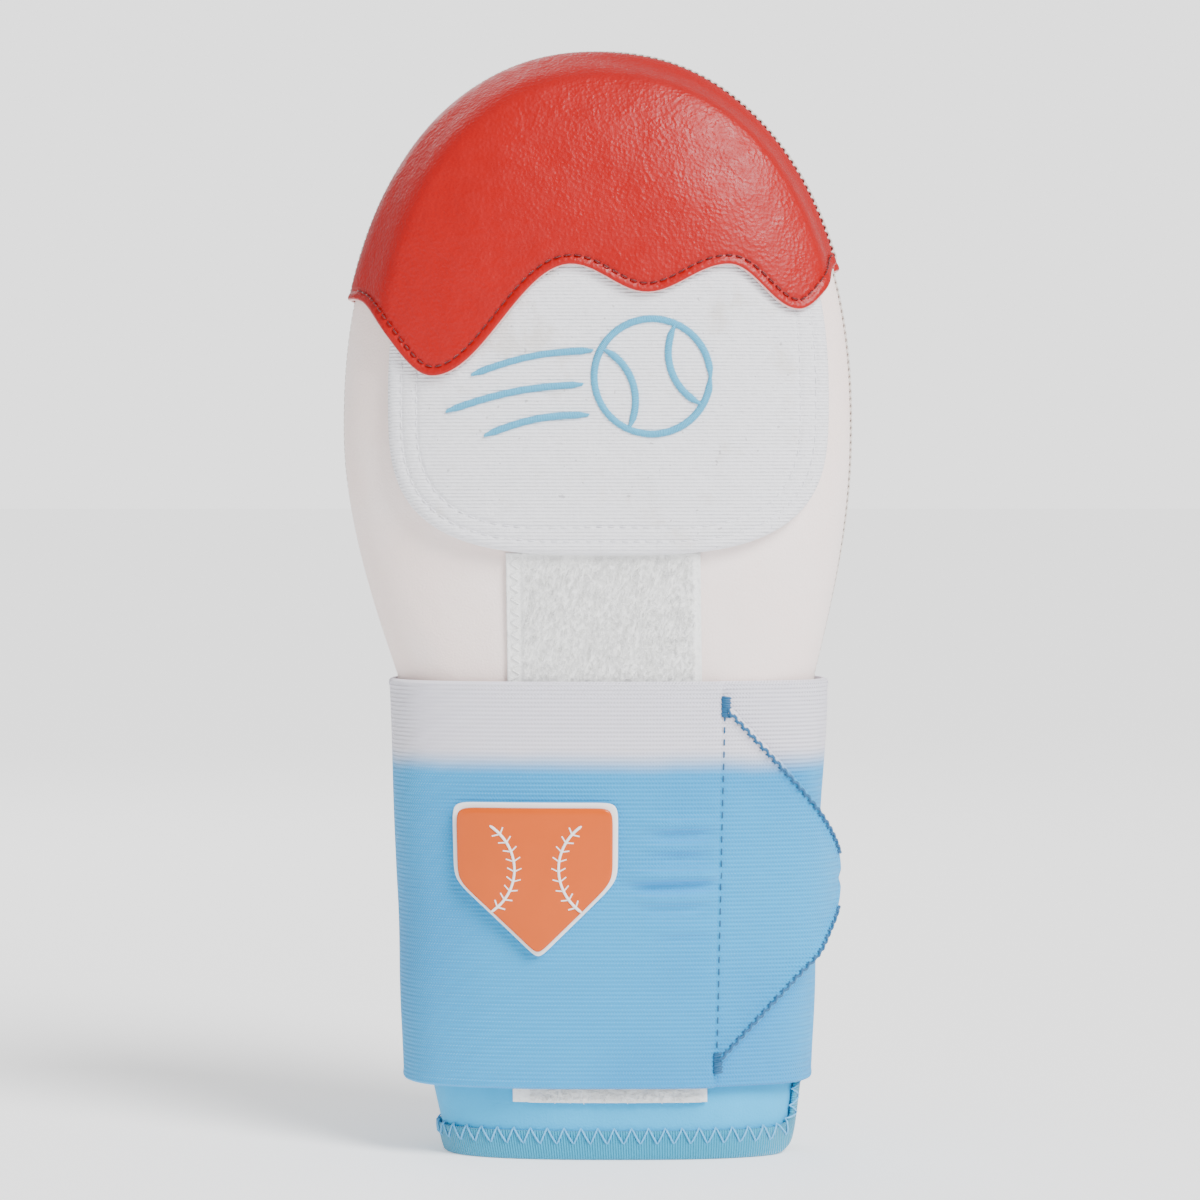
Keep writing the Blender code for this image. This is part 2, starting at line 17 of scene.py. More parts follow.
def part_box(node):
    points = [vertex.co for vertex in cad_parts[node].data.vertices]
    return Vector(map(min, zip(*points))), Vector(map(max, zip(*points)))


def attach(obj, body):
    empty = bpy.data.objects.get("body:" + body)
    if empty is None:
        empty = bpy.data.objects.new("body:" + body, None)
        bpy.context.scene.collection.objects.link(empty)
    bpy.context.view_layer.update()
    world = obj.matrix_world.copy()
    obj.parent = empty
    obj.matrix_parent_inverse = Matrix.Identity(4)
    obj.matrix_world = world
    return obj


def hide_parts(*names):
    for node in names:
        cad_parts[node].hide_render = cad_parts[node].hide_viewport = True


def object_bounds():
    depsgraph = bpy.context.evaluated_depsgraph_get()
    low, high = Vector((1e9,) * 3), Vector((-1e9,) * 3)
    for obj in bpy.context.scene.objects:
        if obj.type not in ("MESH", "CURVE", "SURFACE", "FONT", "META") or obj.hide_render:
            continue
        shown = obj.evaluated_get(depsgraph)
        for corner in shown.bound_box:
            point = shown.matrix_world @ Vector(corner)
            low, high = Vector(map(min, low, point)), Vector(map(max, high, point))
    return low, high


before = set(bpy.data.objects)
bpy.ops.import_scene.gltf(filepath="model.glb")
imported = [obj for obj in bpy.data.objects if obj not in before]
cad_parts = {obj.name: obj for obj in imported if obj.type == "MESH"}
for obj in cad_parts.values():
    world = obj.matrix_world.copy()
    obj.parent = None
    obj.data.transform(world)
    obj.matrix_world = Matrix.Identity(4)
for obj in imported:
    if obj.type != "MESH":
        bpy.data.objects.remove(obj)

bl_info = {
    "name": "Baseball Sliding Mitt",
    "version": (1, 0, 0),
    "blender": (4, 5, 0),
    "location": "3D View > Sidebar > Mitt",
    "description": "Makes the fabrics, leather, stitching and badge of a sliding mitt",
    "category": "Object",
}

CAD_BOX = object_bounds()

# Body form, in metres: heights above the floor, full widths, and depths from the side seam
BODY_LENGTH = 0.2838
KNUCKLE_HEIGHT = 0.188
HAND_WIDTH = 0.132
HAND_FRONT = 0.026
HAND_PALM = 0.023
WRIST_WIDTH = 0.1086
WRIST_LEAN = 0.002
WRIST_FRONT = 0.0235
WRIST_PALM = 0.0245
CUFF_WIDTH = 0.0949
CUFF_LEAN = 0.0042
CUFF_FRONT = 0.0225
CUFF_PALM = 0.0225
HEM_WIDTH = 0.0885
HEM_LEAN = 0.0052
HEM_FRONT = 0.0212
HEM_PALM = 0.0212
SECTION_POWER = 2.6
DOME_POWER = 2.2
NOSE_POWER = 2.6

NEOPRENE = 0.0035
LEATHER = 0.0013
LAYER_GAP = 0.0004
SEAM_GAP = 0.0003
SEAM_LEAD = 0.005
SEAM_WRAP = 0.007
SEAM_WRAP_HEIGHT = 0.177
SEAM_TURN_RISE = 0.017

STRAP_WIDTH = 0.104
STRAP_HEM_HEIGHT = 0.019
STRAP_THICKNESS = 0.0016
STRAP_EASE_LEFT = 0.0053
STRAP_EASE_RIGHT = 0.0004
STRAP_EASE_DEPTH = 0.0015
TAB_SEAM_X = 0.0302
TAB_LENGTH = 0.040
TAB_SHOULDER = 0.0045
TAB_NOSE = 0.009
TAB_LIFT = 0.0030
STRAP_UNDERLAP = 0.001
WRIST_MARGIN = 0.001

SLIT_TOP_BELOW_STRAP = 0.018
SLIT_OPENING = 0.0024
SLIT_CLOSE = 0.006
CORNER_RUN = 0.013
CORNER_RISE = 0.0105
BINDING_WIDTH = 0.0076
BINDING_THICKNESS = 0.0009

PAD_WIDTH = 0.110
PAD_CENTRE = 0.0025
PAD_BOTTOM = 0.1553
PAD_WIDEST_HEIGHT = 0.195
PAD_TIP_INSET = 0.010
PAD_THICKNESS = 0.004
PAD_CORNER_POWER = 3.2

DRIP_CREST_HEIGHT = 0.2283
DRIP_DROP = 0.0278
PAD_SHOULDER = -0.0005
PAD_FALL = 0.0105
PAD_FALL_RIGHT = 0.0062
PAD_SEAM_FALL = 0.0045
PALM_CAP_LEFT = 0.2215
PALM_CAP_RIGHT = 0.2305
PALM_CAP_SAG = 0.014

TAPE_WIDTH = 0.0494
TAPE_CENTRE = 0.0013
TAPE_THICKNESS = 0.0012
TAPE_HEM_HEIGHT = 0.0151

BADGE_WIDTH = 0.040
BADGE_X = -0.015
BADGE_HEIGHT = 0.0723
BADGE_BACKING = 0.001
BADGE_FACE = 0.0014
BADGE_RIM = 0.0013
BADGE_CORNER_POWER = 16

STRAP_TOP = STRAP_HEM_HEIGHT + STRAP_WIDTH
WRIST_HEIGHT = STRAP_TOP + WRIST_MARGIN
SLIT_TOP = STRAP_TOP - SLIT_TOP_BELOW_STRAP
DOME_HEIGHT = BODY_LENGTH - KNUCKLE_HEIGHT
PAD_TOP = BODY_LENGTH - PAD_TIP_INSET
EDGE_INSET = BINDING_THICKNESS + LAYER_GAP
STRAP_MIDDLE = STRAP_HEM_HEIGHT + STRAP_WIDTH / 2

Form = namedtuple("Form", "left right front palm")
Station = namedtuple("Station", "height width lean front palm")
STATIONS = (
    Station(0.0, HEM_WIDTH, HEM_LEAN, HEM_FRONT, HEM_PALM),
    Station(STRAP_HEM_HEIGHT, CUFF_WIDTH, CUFF_LEAN, CUFF_FRONT, CUFF_PALM),
    Station(WRIST_HEIGHT, WRIST_WIDTH, WRIST_LEAN, WRIST_FRONT, WRIST_PALM),
    Station(KNUCKLE_HEIGHT, HAND_WIDTH, 0.0, HAND_FRONT, HAND_PALM),
)

Turn = namedtuple("Turn", "across drop")
DRIP_TURNS = (
    Turn(-0.94, 0.28),
    Turn(-0.618, 1.0),
    Turn(-0.103, 0.0),
    Turn(0.185, 0.25),
    Turn(0.488, 0.0),
    Turn(0.741, 0.40),
    Turn(0.992, -0.20),
)

# The form is centred on its side seam; the frame says where that seam is
back_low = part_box("back_panel")[0]
palm_low, palm_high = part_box("palm_panel")
FORM_PLACE = Vector(((palm_low[0] + palm_high[0]) / 2, back_low[1] + HAND_FRONT + SEAM_GAP / 2, 0.0))


# Small helpers
def mix(a, b, share):
    return a + (b - a) * share


def smooth(value, low, high):
    """0 below low, 1 above high, and a smooth S between."""
    share = min(1.0, max(0.0, (value - low) / (high - low)))
    return share * share * (3 - 2 * share)


def hump(value, middle, width):
    """1 at the middle, falling smoothly away over about the width."""
    return math.exp(-(((value - middle) / width) ** 2))


def round_off(inset, radius):
    """Height of a rounded edge at this inset: 0 at the edge and 1 from the radius inwards."""
    share = min(1.0, max(0.0, 1 - inset / radius))
    return math.sqrt(1 - share * share)


def signed_power(value, power):
    return math.copysign(abs(value) ** power, value)


def shares(count, crowding=0.0):
    """Shares from 0 to 1, crowded towards both ends."""
    even = [i / count for i in range(count + 1)]
    return [share - crowding * math.sin(2 * math.pi * share) / (2 * math.pi) for share in even]


def read_table(keys, values, key):
    """Value at a key, on straight lines between the rows of a rising table."""
    low, high = 0, len(keys) - 1
    while high - low > 1:
        middle = (low + high) // 2
        low, high = (middle, high) if keys[middle] <= key else (low, middle)
    return mix(values[low], values[high], (key - keys[low]) / (keys[high] - keys[low]))


# Body form
def dome_angle(height):
    share = min(1.0, max(0.0, (height - KNUCKLE_HEIGHT) / DOME_HEIGHT))
    return math.asin(share ** (DOME_POWER / 2))


def climb_at(height):
    """How far up the mitt a height is: -1 at the floor, 0 at the knuckles, 1 at the tip."""
    if height <= KNUCKLE_HEIGHT:
        return height / KNUCKLE_HEIGHT - 1
    return dome_angle(height) / (math.pi / 2)


def height_at(climb):
    if climb <= 0:
        return KNUCKLE_HEIGHT * (1 + climb)
    return KNUCKLE_HEIGHT + DOME_HEIGHT * math.sin(climb * math.pi / 2) ** (2 / DOME_POWER)


@lru_cache(maxsize=None)
def body_form(climb):
    """Left and right edge and the two depths of the body at this climb."""
    if climb > 0:
        angle = min(climb, 1) * math.pi / 2
        narrow = max(0.0, math.cos(angle)) ** (2 / DOME_POWER)
        share = (height_at(min(climb, 1)) - KNUCKLE_HEIGHT) / DOME_HEIGHT
        thin = max(0.0, 1 - share**NOSE_POWER) ** 0.5
        half = HAND_WIDTH / 2 * narrow
        return Form(-half, half, HAND_FRONT * thin, HAND_PALM * thin)
    height = height_at(climb)
    lower, upper = STATIONS[0], STATIONS[1]
    for lower, upper in zip(STATIONS, STATIONS[1:]):
        if height <= upper.height:
            break
    share = (height - lower.height) / (upper.height - lower.height)
    if upper is STATIONS[-1]:
        share = math.sin(min(1.0, share) * math.pi / 2)
    half = mix(lower.width, upper.width, share) / 2
    lean = mix(lower.lean, upper.lean, share)
    front = mix(lower.front, upper.front, share)
    return Form(lean - half, lean + half, front, mix(lower.palm, upper.palm, share))


def section_point(form, angle):
    """Point of a section: angle 0 is the left side, a quarter turn the front, a half turn the right."""
    c = signed_power(math.cos(angle), 2 / SECTION_POWER)
    s = signed_power(math.sin(angle), 2 / SECTION_POWER)
    half = (form.right - form.left) / 2
    depth = form.front if s > 0 else form.palm
    return Vector(((form.left + form.right) / 2 - half * c, -depth * s))


def skin_normal(angle, climb):
    if climb > 1 - 1e-6:
        return Vector((0, 0, 1))
    step = 1e-3
    ahead = section_point(body_form(climb), angle + step)
    behind = section_point(body_form(climb), angle - step)
    upper, lower = min(1.0, climb + step), max(-1.0, climb - step)
    rise = Vector((*section_point(body_form(upper), angle), height_at(upper)))
    rise -= Vector((*section_point(body_form(lower), angle), height_at(lower)))
    return Vector((*(ahead - behind), 0)).cross(rise).normalized()


def skin(angle, climb, offset=0.0):
    """Point on the body's outer skin, moved outwards along its normal by the offset."""
    here = Vector((*section_point(body_form(climb), angle), height_at(climb)))
    return here + skin_normal(angle, climb) * offset if offset else here


@lru_cache(maxsize=None)
def girth_table(climb):
    """Angles of a section and their distances round it, from its right side over the front."""
    count = 400
    angles = [math.pi - 2 * math.pi * i / count for i in range(count + 1)]
    points = [section_point(body_form(climb), angle) for angle in angles]
    distances = [0.0]
    for a, b in zip(points, points[1:]):
        distances.append(distances[-1] + (b - a).length)
    return angles, distances, [-angle for angle in angles]


def angle_along(climb, distance):
    angles, distances, _ = girth_table(climb)
    if distances[-1] == 0:
        return 0.0
    turns = distance // distances[-1]
    return read_table(distances, angles, distance - turns * distances[-1]) - 2 * math.pi * turns


def girth(climb):
    return girth_table(climb)[1][-1]


def distance_to(climb, angle):
    _, distances, falling = girth_table(climb)
    return read_table(falling, distances, -angle)


def front_angle(climb, x):
    """Angle of the point on the front at this x."""
    form = body_form(climb)
    half = max(1e-9, (form.right - form.left) / 2)
    share = max(-1.0, min(1.0, (x - (form.left + form.right) / 2) / half))
    return math.acos(-signed_power(share, SECTION_POWER / 2))


def front_point(x, height, offset):
    """Point over the back panel at this x and height."""
    climb = climb_at(height)
    return skin(front_angle(climb, x), climb, offset) - Vector((0, SEAM_GAP / 2, 0))


def left_seam(climb):
    """Distance round the section to the left seam, which turns behind the hand at the wrist."""
    turned = smooth(height_at(climb), SEAM_WRAP_HEIGHT - SEAM_TURN_RISE, SEAM_WRAP_HEIGHT)
    return distance_to(climb, 0.0) + SEAM_WRAP * (1 - turned)


def right_seam(climb):
    """Distance from the right side to the right seam, which leads towards the front."""
    return SEAM_LEAD * smooth(height_at(climb), WRIST_HEIGHT, KNUCKLE_HEIGHT) * (1 - max(0, climb) ** 4)


def edge_back_off(height):
    """How far a panel's edge stays back from the right seam: the slit, and the corner at the hem."""
    back_off = (SLIT_OPENING / 2 + EDGE_INSET) * (1 - smooth(height, SLIT_TOP, SLIT_TOP + SLIT_CLOSE))
    if height < CORNER_RISE:
        share = min(1.0, (CORNER_RISE - height) / (CORNER_RISE - EDGE_INSET))
        back_off += (CORNER_RUN - EDGE_INSET) * (1 - math.sqrt(1 - share * share))
    return back_off


# Leather and pad heights over the body
def pad_outline(turn):
    """Outline of the pad by turn from its right side: x from its middle, and height."""
    half = PAD_WIDTH / 2
    c, s = math.cos(turn), math.sin(turn)
    power, reach = (DOME_POWER, PAD_TOP) if s > 0 else (PAD_CORNER_POWER, PAD_BOTTOM)
    up = abs(s) ** (2 / power) * (reach - PAD_WIDEST_HEIGHT)
    return half * signed_power(c, 2 / power), PAD_WIDEST_HEIGHT + up


def pad_reach(x, height):
    """How far a point of the front lies outside the pad's outline; negative inside."""
    across, up = x - PAD_CENTRE, height - PAD_WIDEST_HEIGHT
    power, reach = (DOME_POWER, PAD_TOP) if up > 0 else (PAD_CORNER_POWER, PAD_BOTTOM)
    reach = abs(reach - PAD_WIDEST_HEIGHT)
    level = (abs(across / (PAD_WIDTH / 2)) ** power + abs(up / reach) ** power) ** (1 / power)
    return math.hypot(across, up) * (1 - 1 / max(level, 1e-6))


def pad_rise(point, from_seam=1.0):
    """How far the leather stands up over the pad; it falls away to nothing at the side seams."""
    fall = mix(PAD_FALL, PAD_FALL_RIGHT, smooth(point.x, -0.02, 0.035))
    lift = 1 - smooth(pad_reach(point.x, point.z), PAD_SHOULDER, fall)
    return (PAD_THICKNESS + LAYER_GAP) * lift * smooth(from_seam, 0.0, PAD_SEAM_FALL)


def drip_edge(x):
    """Height of the dripping edge at this x, on half waves between its turning points."""
    share = x / (HAND_WIDTH / 2)
    if share <= DRIP_TURNS[0].across:
        drop = DRIP_TURNS[0].drop
    else:
        for first, second in zip(DRIP_TURNS, DRIP_TURNS[1:]):
            if share <= second.across:
                break
        wave = min(1.0, (share - first.across) / (second.across - first.across))
        drop = mix(first.drop, second.drop, (1 - math.cos(math.pi * wave)) / 2)
    return DRIP_CREST_HEIGHT - DRIP_DROP * drop


def palm_edge(x):
    share = max(-1.0, min(1.0, x / (HAND_WIDTH / 2)))
    return mix(PALM_CAP_LEFT, PALM_CAP_RIGHT, (share + 1) / 2) - PALM_CAP_SAG * (1 - share * share)


def panel_angle(climb, across, palm, back_off=0.0):
    """Angle of a panel's column, from the left seam to the right one."""
    last = right_seam(climb) + back_off
    if palm:
        last = girth(climb) + right_seam(climb) - back_off
    return mix(angle_along(climb, left_seam(climb)), angle_along(climb, last), across)


PUCKER_DEPTH = 0.0010
PUCKER_REACH = 0.0045


def pucker(across, climb, palm):
    """How far the sewn edge draws the cloth in beside the side seams."""
    size = girth(climb) / 2
    near = min(across, 1 - across) * size
    depth = PUCKER_DEPTH * smooth(height_at(climb), WRIST_HEIGHT - 0.02, WRIST_HEIGHT)
    return depth * max(0.0, 1 - near / PUCKER_REACH) ** 2


# Building blocks
def mesh_object(name, mesh, material, node=None):
    """Puts a finished mesh at its place in the frame, gives it its look and body, and hides the frame's
    part it stands for, if one is named.
    """
    mesh.name = name
    mesh.transform(Matrix.Translation(FORM_PLACE))
    mesh.materials.clear()
    mesh.materials.append(material)
    obj = bpy.data.objects.new(name, mesh)
    bpy.context.scene.collection.objects.link(obj)
    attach(obj, "root")
    if node:
        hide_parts(node)
    return obj


def closed_mesh(bm, weld=1e-7):
    """A smooth-shaded mesh, merged at its poles, with its faces turned outwards."""
    bmesh.ops.remove_doubles(bm, verts=bm.verts, dist=weld)
    bmesh.ops.recalc_face_normals(bm, faces=bm.faces)
    mesh = bpy.data.meshes.new("piece")
    bm.to_mesh(mesh)
    bm.free()
    mesh.shade_smooth()
    return mesh


def slab(columns, rows, place):
    """A slab of cloth: place(across, along, outer) gives each point and its lay, an attribute
    that holds its distances across and along the cloth and from the nearest edge."""
    bm = bmesh.new()
    bmesh.ops.create_grid(bm, x_segments=len(columns) - 1, y_segments=len(rows) - 1, size=0.5)
    lifted = bmesh.ops.extrude_face_region(bm, geom=bm.faces[:])["geom"]
    lifted = [part for part in lifted if isinstance(part, bmesh.types.BMVert)]
    bmesh.ops.translate(bm, verts=lifted, vec=(0, 0, 1))
    lay = bm.verts.layers.float_vector.new("lay")
    for vertex in bm.verts:
        x, y, outer = vertex.co + Vector((0.5, 0.5, 0))
        across = columns[round(x * (len(columns) - 1))]
        along = rows[round(y * (len(rows) - 1))]
        vertex.co, vertex[lay] = place(across, along, round(outer))
    return closed_mesh(bm)


def patch(rings, segments, place):
    """A closed patch: ring numbers are spun round, then place(turn, ring) puts each point."""
    bm = bmesh.new()
    last = len(rings) - 1
    verts = [bm.verts.new((0 if i in (0, last) else 1, 0, i)) for i in range(last + 1)]
    edges = [bm.edges.new(pair) for pair in zip(verts, verts[1:])]
    full = {"axis": (0, 0, 1), "cent": (0, 0, 0), "angle": 2 * math.pi, "use_merge": True}
    bmesh.ops.spin(bm, geom=[*verts, *edges], steps=segments, **full)
    bmesh.ops.remove_doubles(bm, verts=bm.verts, dist=1e-4)
    lay = bm.verts.layers.float_vector.new("lay")
    for vertex in bm.verts:
        x, y, number = vertex.co
        vertex.co, vertex[lay] = place(math.atan2(y, x), rings[round(number)])
    return closed_mesh(bm)


def thread_mesh(strands, radius, roundness=1):
    """Sewing thread: one tube for each strand of points, with drawn-in ends."""
    curve = bpy.data.curves.new("thread", "CURVE")
    curve.dimensions = "3D"
    curve.bevel_depth = radius
    curve.bevel_resolution = roundness
    curve.use_fill_caps = True
    for strand in strands:
        spline = curve.splines.new("POLY")
        spline.points.add(len(strand) - 1)
        for i, (point, place) in enumerate(zip(spline.points, strand)):
            point.co = (*place, 1)
            point.radius = 0.55 if i in (0, len(strand) - 1) else 1.0
    holder = bpy.data.objects.new("thread", curve)
    bpy.context.scene.collection.objects.link(holder)
    evaluated = holder.evaluated_get(bpy.context.evaluated_depsgraph_get())
    mesh = bpy.data.meshes.new_from_object(evaluated)
    bpy.data.objects.remove(holder)
    bpy.data.curves.remove(curve)
    mesh.shade_smooth()
    return mesh


def stitch(a, b, out, sink, arch):
    """A stitch from a to b whose ends dive into the cloth and whose middle stands proud."""
    quarter, half, most = a.lerp(b, 0.18), a.lerp(b, 0.5), a.lerp(b, 0.82)
    rise = out * arch * 0.75
    return [a - out * sink, quarter + rise, half + out * arch, most + rise, b - out * sink]


def distances_along(points):
    """Distance from the first point to each point of a line."""
    distances = [0.0]
    for a, b in zip(points, points[1:]):
        distances.append(distances[-1] + (b - a).length)
    return distances


def walk(points, pitch):
    """Places along a line of points at an even pitch, each with its direction."""
    distances = distances_along(points)
    places = []
    for i in range(int(distances[-1] / pitch) + 1):
        low, high = 0, len(points) - 1
        while high - low > 1:
            middle = (low + high) // 2
            low, high = (middle, high) if distances[middle] <= i * pitch else (low, middle)
        span = max(1e-9, distances[high] - distances[low])
        here = points[low].lerp(points[high], (i * pitch - distances[low]) / span)
        places.append((here, (points[high] - points[low]).normalized()))
    return places


# Materials
class Look:
    """A material's nodes: a Principled shader and the few kinds of node that feed it."""

    def __init__(self, name, colour, roughness, **sockets):
        self.material = bpy.data.materials.new(name)
        self.material.use_nodes = True
        self.tree = self.material.node_tree
        self.shader = self.tree.nodes["Principled BSDF"]
        self.shader.inputs["Base Color"].default_value = (*colour, 1)
        self.shader.inputs["Roughness"].default_value = roughness
        for socket, value in sockets.items():
            self.shader.inputs[socket.replace("_", " ")].default_value = value
        self.coordinates = self.node("ShaderNodeTexCoord").outputs["Object"]
        split = self.node("ShaderNodeSeparateXYZ", Vector=self.coordinates)
        self.x, self.y, self.z = split.outputs
        lay = self.node("ShaderNodeAttribute")
        lay.attribute_name = "lay"
        split = self.node("ShaderNodeSeparateXYZ", Vector=lay.outputs["Vector"])
        self.across, self.along, self.edge = split.outputs

    def node(self, kind, settings=None, **inputs):
        node = self.tree.nodes.new(kind)
        for name, value in (settings or {}).items():
            setattr(node, name, value)
        for name, value in inputs.items():
            self.feed(node.inputs[name.replace("_", " ")], value)
        return node

    def feed(self, socket, value):
        if isinstance(value, bpy.types.NodeSocket):
            self.tree.links.new(value, socket)
        elif socket.type == "RGBA":
            socket.default_value = (*value, 1)
        else:
            socket.default_value = value

    def math(self, operation, a, b=0.0, c=0.5):
        node = self.node("ShaderNodeMath", {"operation": operation})
        for socket, value in zip(node.inputs, (a, b, c)):
            self.feed(socket, value)
        return node.outputs[0]

    def step(self, value, low, high, start=0.0, end=1.0):
        """A smooth step of a value from start to end."""
        settings = {"interpolation_type": "SMOOTHSTEP"}
        node = self.node("ShaderNodeMapRange", settings)
        sockets = ("Value", "From Min", "From Max", "To Min", "To Max")
        for name, number in zip(sockets, (value, low, high, start, end)):
            self.feed(node.inputs[name], number)
        return node.outputs["Result"]

    def blend(self, share, a, b):
        node = self.node("ShaderNodeMix", {"data_type": "RGBA"})
        self.feed(node.inputs[0], share)
        self.feed(node.inputs[6], a)
        self.feed(node.inputs[7], b)
        return node.outputs[2]

    def noise(self, scale, detail=2.0, roughness=0.5):
        node = self.node("ShaderNodeTexNoise", Vector=self.coordinates, Scale=scale)
        self.feed(node.inputs["Detail"], detail)
        self.feed(node.inputs["Roughness"], roughness)
        return node.outputs["Fac"]

    def cells(self, scale):
        node = self.node("ShaderNodeTexVoronoi", Vector=self.coordinates, Scale=scale)
        return node.outputs["Distance"]

    def ribs(self, value, pitch):
        """0 to 1 waves at this pitch."""
        wave = self.math("SINE", self.math("MULTIPLY", value, 2 * math.pi / pitch))
        return self.math("MULTIPLY_ADD", wave, 0.5, 0.5)

    def bump(self, height, depth):
        node = self.node("ShaderNodeBump", Height=height, Distance=depth, Strength=1.0)
        if self.shader.inputs["Normal"].links:
            self.feed(node.inputs["Normal"], self.shader.inputs["Normal"].links[0].from_socket)
        self.feed(self.shader.inputs["Normal"], node.outputs["Normal"])

    def colour(self, value):
        self.feed(self.shader.inputs["Base Color"], value)

    def rough(self, value):
        self.feed(self.shader.inputs["Roughness"], value)


# Heights over which the cuff's dye gives way to the hand's, and the strap's blue to its pale top
CUFF_LINE = (0.055, 0.062)
DYE_LINE = (0.0998, 0.1075)


def neoprene_look(colours):
    look = Look("neoprene", colours.body, 0.78, Sheen_Weight=0.25, Sheen_Roughness=0.4)
    tint = look.blend(look.step(look.noise(28.0), 0.35, 0.65), colours.body, colours.body_warm)
    faded = [c * 0.93 for c in colours.cuff]
    cuff = look.blend(look.step(look.noise(60.0), 0.3, 0.7), colours.cuff, faded)
    look.colour(look.blend(look.step(look.z, *CUFF_LINE), cuff, tint))
    look.bump(look.noise(90.0), 0.0005)
    look.bump(look.noise(1800.0, 1.0), 0.00012)
    return look.material


def leather_look(colours):
    look = Look("pebbled_leather", colours.leather, 0.42, Specular_IOR_Level=0.28)
    worn = look.blend(look.noise(160.0, 3.0), colours.leather, [c * 0.86 for c in colours.leather])
    look.colour(look.blend(look.step(look.edge, 0.00005, 0.0003), colours.leather_edge, worn))
    look.rough(look.step(look.noise(300.0, 3.0), 0.3, 0.7, 0.34, 0.46))
    look.bump(look.noise(120.0), 0.0004)
    look.bump(look.noise(1150.0, 2.0), 0.00012)
    look.bump(look.cells(1000.0), 0.00010)
    return look.material


def pad_look(colours):
    look = Look("ribbed_pad_fabric", colours.pad, 0.92, Sheen_Weight=0.35, Sheen_Roughness=0.5)
    # Painted shade: the fabric's colour darkens in the valleys between the ribs
    ribs = look.ribs(look.z, 0.0009)
    shade = look.blend(ribs, [c * 0.9 for c in colours.pad], colours.pad)
    patches = look.step(look.noise(45.0, 4.0, 0.7), 0.56, 0.72)
    soil = look.math("MULTIPLY", patches, 0.45)
    shade = look.blend(soil, shade, colours.pad_soil)
    speck = look.math("MULTIPLY", look.step(look.noise(620.0, 1.0), 0.735, 0.765), 0.55)
    look.colour(look.blend(speck, shade, colours.pad_speck))
    look.bump(ribs, 0.00022)
    look.bump(look.noise(900.0, 3.0, 0.7), 0.0003)
    look.bump(look.noise(110.0), 0.0006)
    return look.material


def loop_look(colours):
    look = Look("loop_pile", colours.loop, 0.95, Sheen_Weight=0.5, Sheen_Roughness=0.5)
    pile = look.noise(750.0, 4.0, 0.75)
    # Painted shade: the pile's colour darkens where its loops are low, following the same noise as its
    # bump
    look.colour(look.blend(look.step(pile, 0.3, 0.6), [c * 0.88 for c in colours.loop], colours.loop))
    look.bump(pile, 0.0005)
    look.bump(look.noise(170.0), 0.0007)
    return look.material


ELASTIC_RIB = 0.00108


def elastic_look(colours):
    """Woven elastic: cross ribs with a herringbone between them, dyed from white to blue, with painted
    shade in the rib gaps and along the herringbone.
    """
    look = Look("woven_elastic", colours.strap, 0.82, Sheen_Weight=0.2, Sheen_Roughness=0.4)
    edge = look.math("ADD", look.z, look.math("MULTIPLY", look.noise(45.0), 0.0025))
    dye = look.step(edge, *DYE_LINE)
    mottle = look.step(look.noise(22.0), 0.35, 0.65, 0.0, 0.4)
    blue = look.blend(mottle, colours.strap, colours.strap_deep_dye_and_shade)
    dyed = look.blend(dye, blue, colours.strap_top)
    rib = look.ribs(look.across, ELASTIC_RIB)
    folded = look.math("PINGPONG", look.across, ELASTIC_RIB)
    hatch = look.ribs(look.math("ADD", look.along, folded), ELASTIC_RIB * 0.75)
    weave = look.math("MULTIPLY_ADD", hatch, 0.6, 0.4)
    # Painted shade: the colour darkens along the herringbone and in the gaps between the ribs, to the
    # deep blue below the dye line and to a darker pale colour above it
    shade = look.math("MULTIPLY", look.math("SUBTRACT", 1.0, weave), 0.20)
    gap_shade = look.math("MULTIPLY", look.step(rib, 0.0, 0.35, 1.0, 0.0), 0.14)
    shadow = look.blend(dye, colours.strap_deep_dye_and_shade, [c * 0.72 for c in colours.strap_top])
    look.colour(look.blend(look.math("ADD", shade, gap_shade), dyed, shadow))
    look.bump(rib, 0.00030)
    look.bump(hatch, 0.00018)
    look.bump(look.noise(700.0), 0.0001)
    return look.material


def binding_look(colours):
    look = Look("ribbed_binding", colours.binding, 0.7, Sheen_Weight=0.3, Sheen_Roughness=0.4)
    ribs = look.ribs(look.along, 0.00066)
    # Painted shade: the tape's colour darkens in the grooves between its ribs
    look.colour(look.blend(ribs, [c * 0.72 for c in colours.binding], colours.binding))
    look.bump(ribs, 0.00025)
    look.bump(look.noise(900.0), 0.0001)
    return look.material


def thread_look(name, colour):
    look = Look(name, colour, 0.55, Sheen_Weight=0.3, Sheen_Roughness=0.3)
    twist = look.noise(1500.0, 1.0)
    # Painted shade: the thread darkens where the twist's bump is low
    look.colour(look.blend(twist, [c * 0.8 for c in colour], colour))
    look.bump(twist, 0.00012)
    return look.material


def rubber_look(name, colour, roughness, coat):
    look = Look(name, colour, roughness, Coat_Weight=coat, Coat_Roughness=0.05, Specular_IOR_Level=0.18)
    look.colour(look.blend(look.step(look.noise(90.0), 0.3, 0.7), colour, [c * 0.95 for c in colour]))
    look.bump(look.noise(260.0, 1.0), 0.00004)
    return look.material


def material(name, maker, *values):
    """The scene's one material of this name, made on first use."""
    return bpy.data.materials.get(name) or maker(*values)


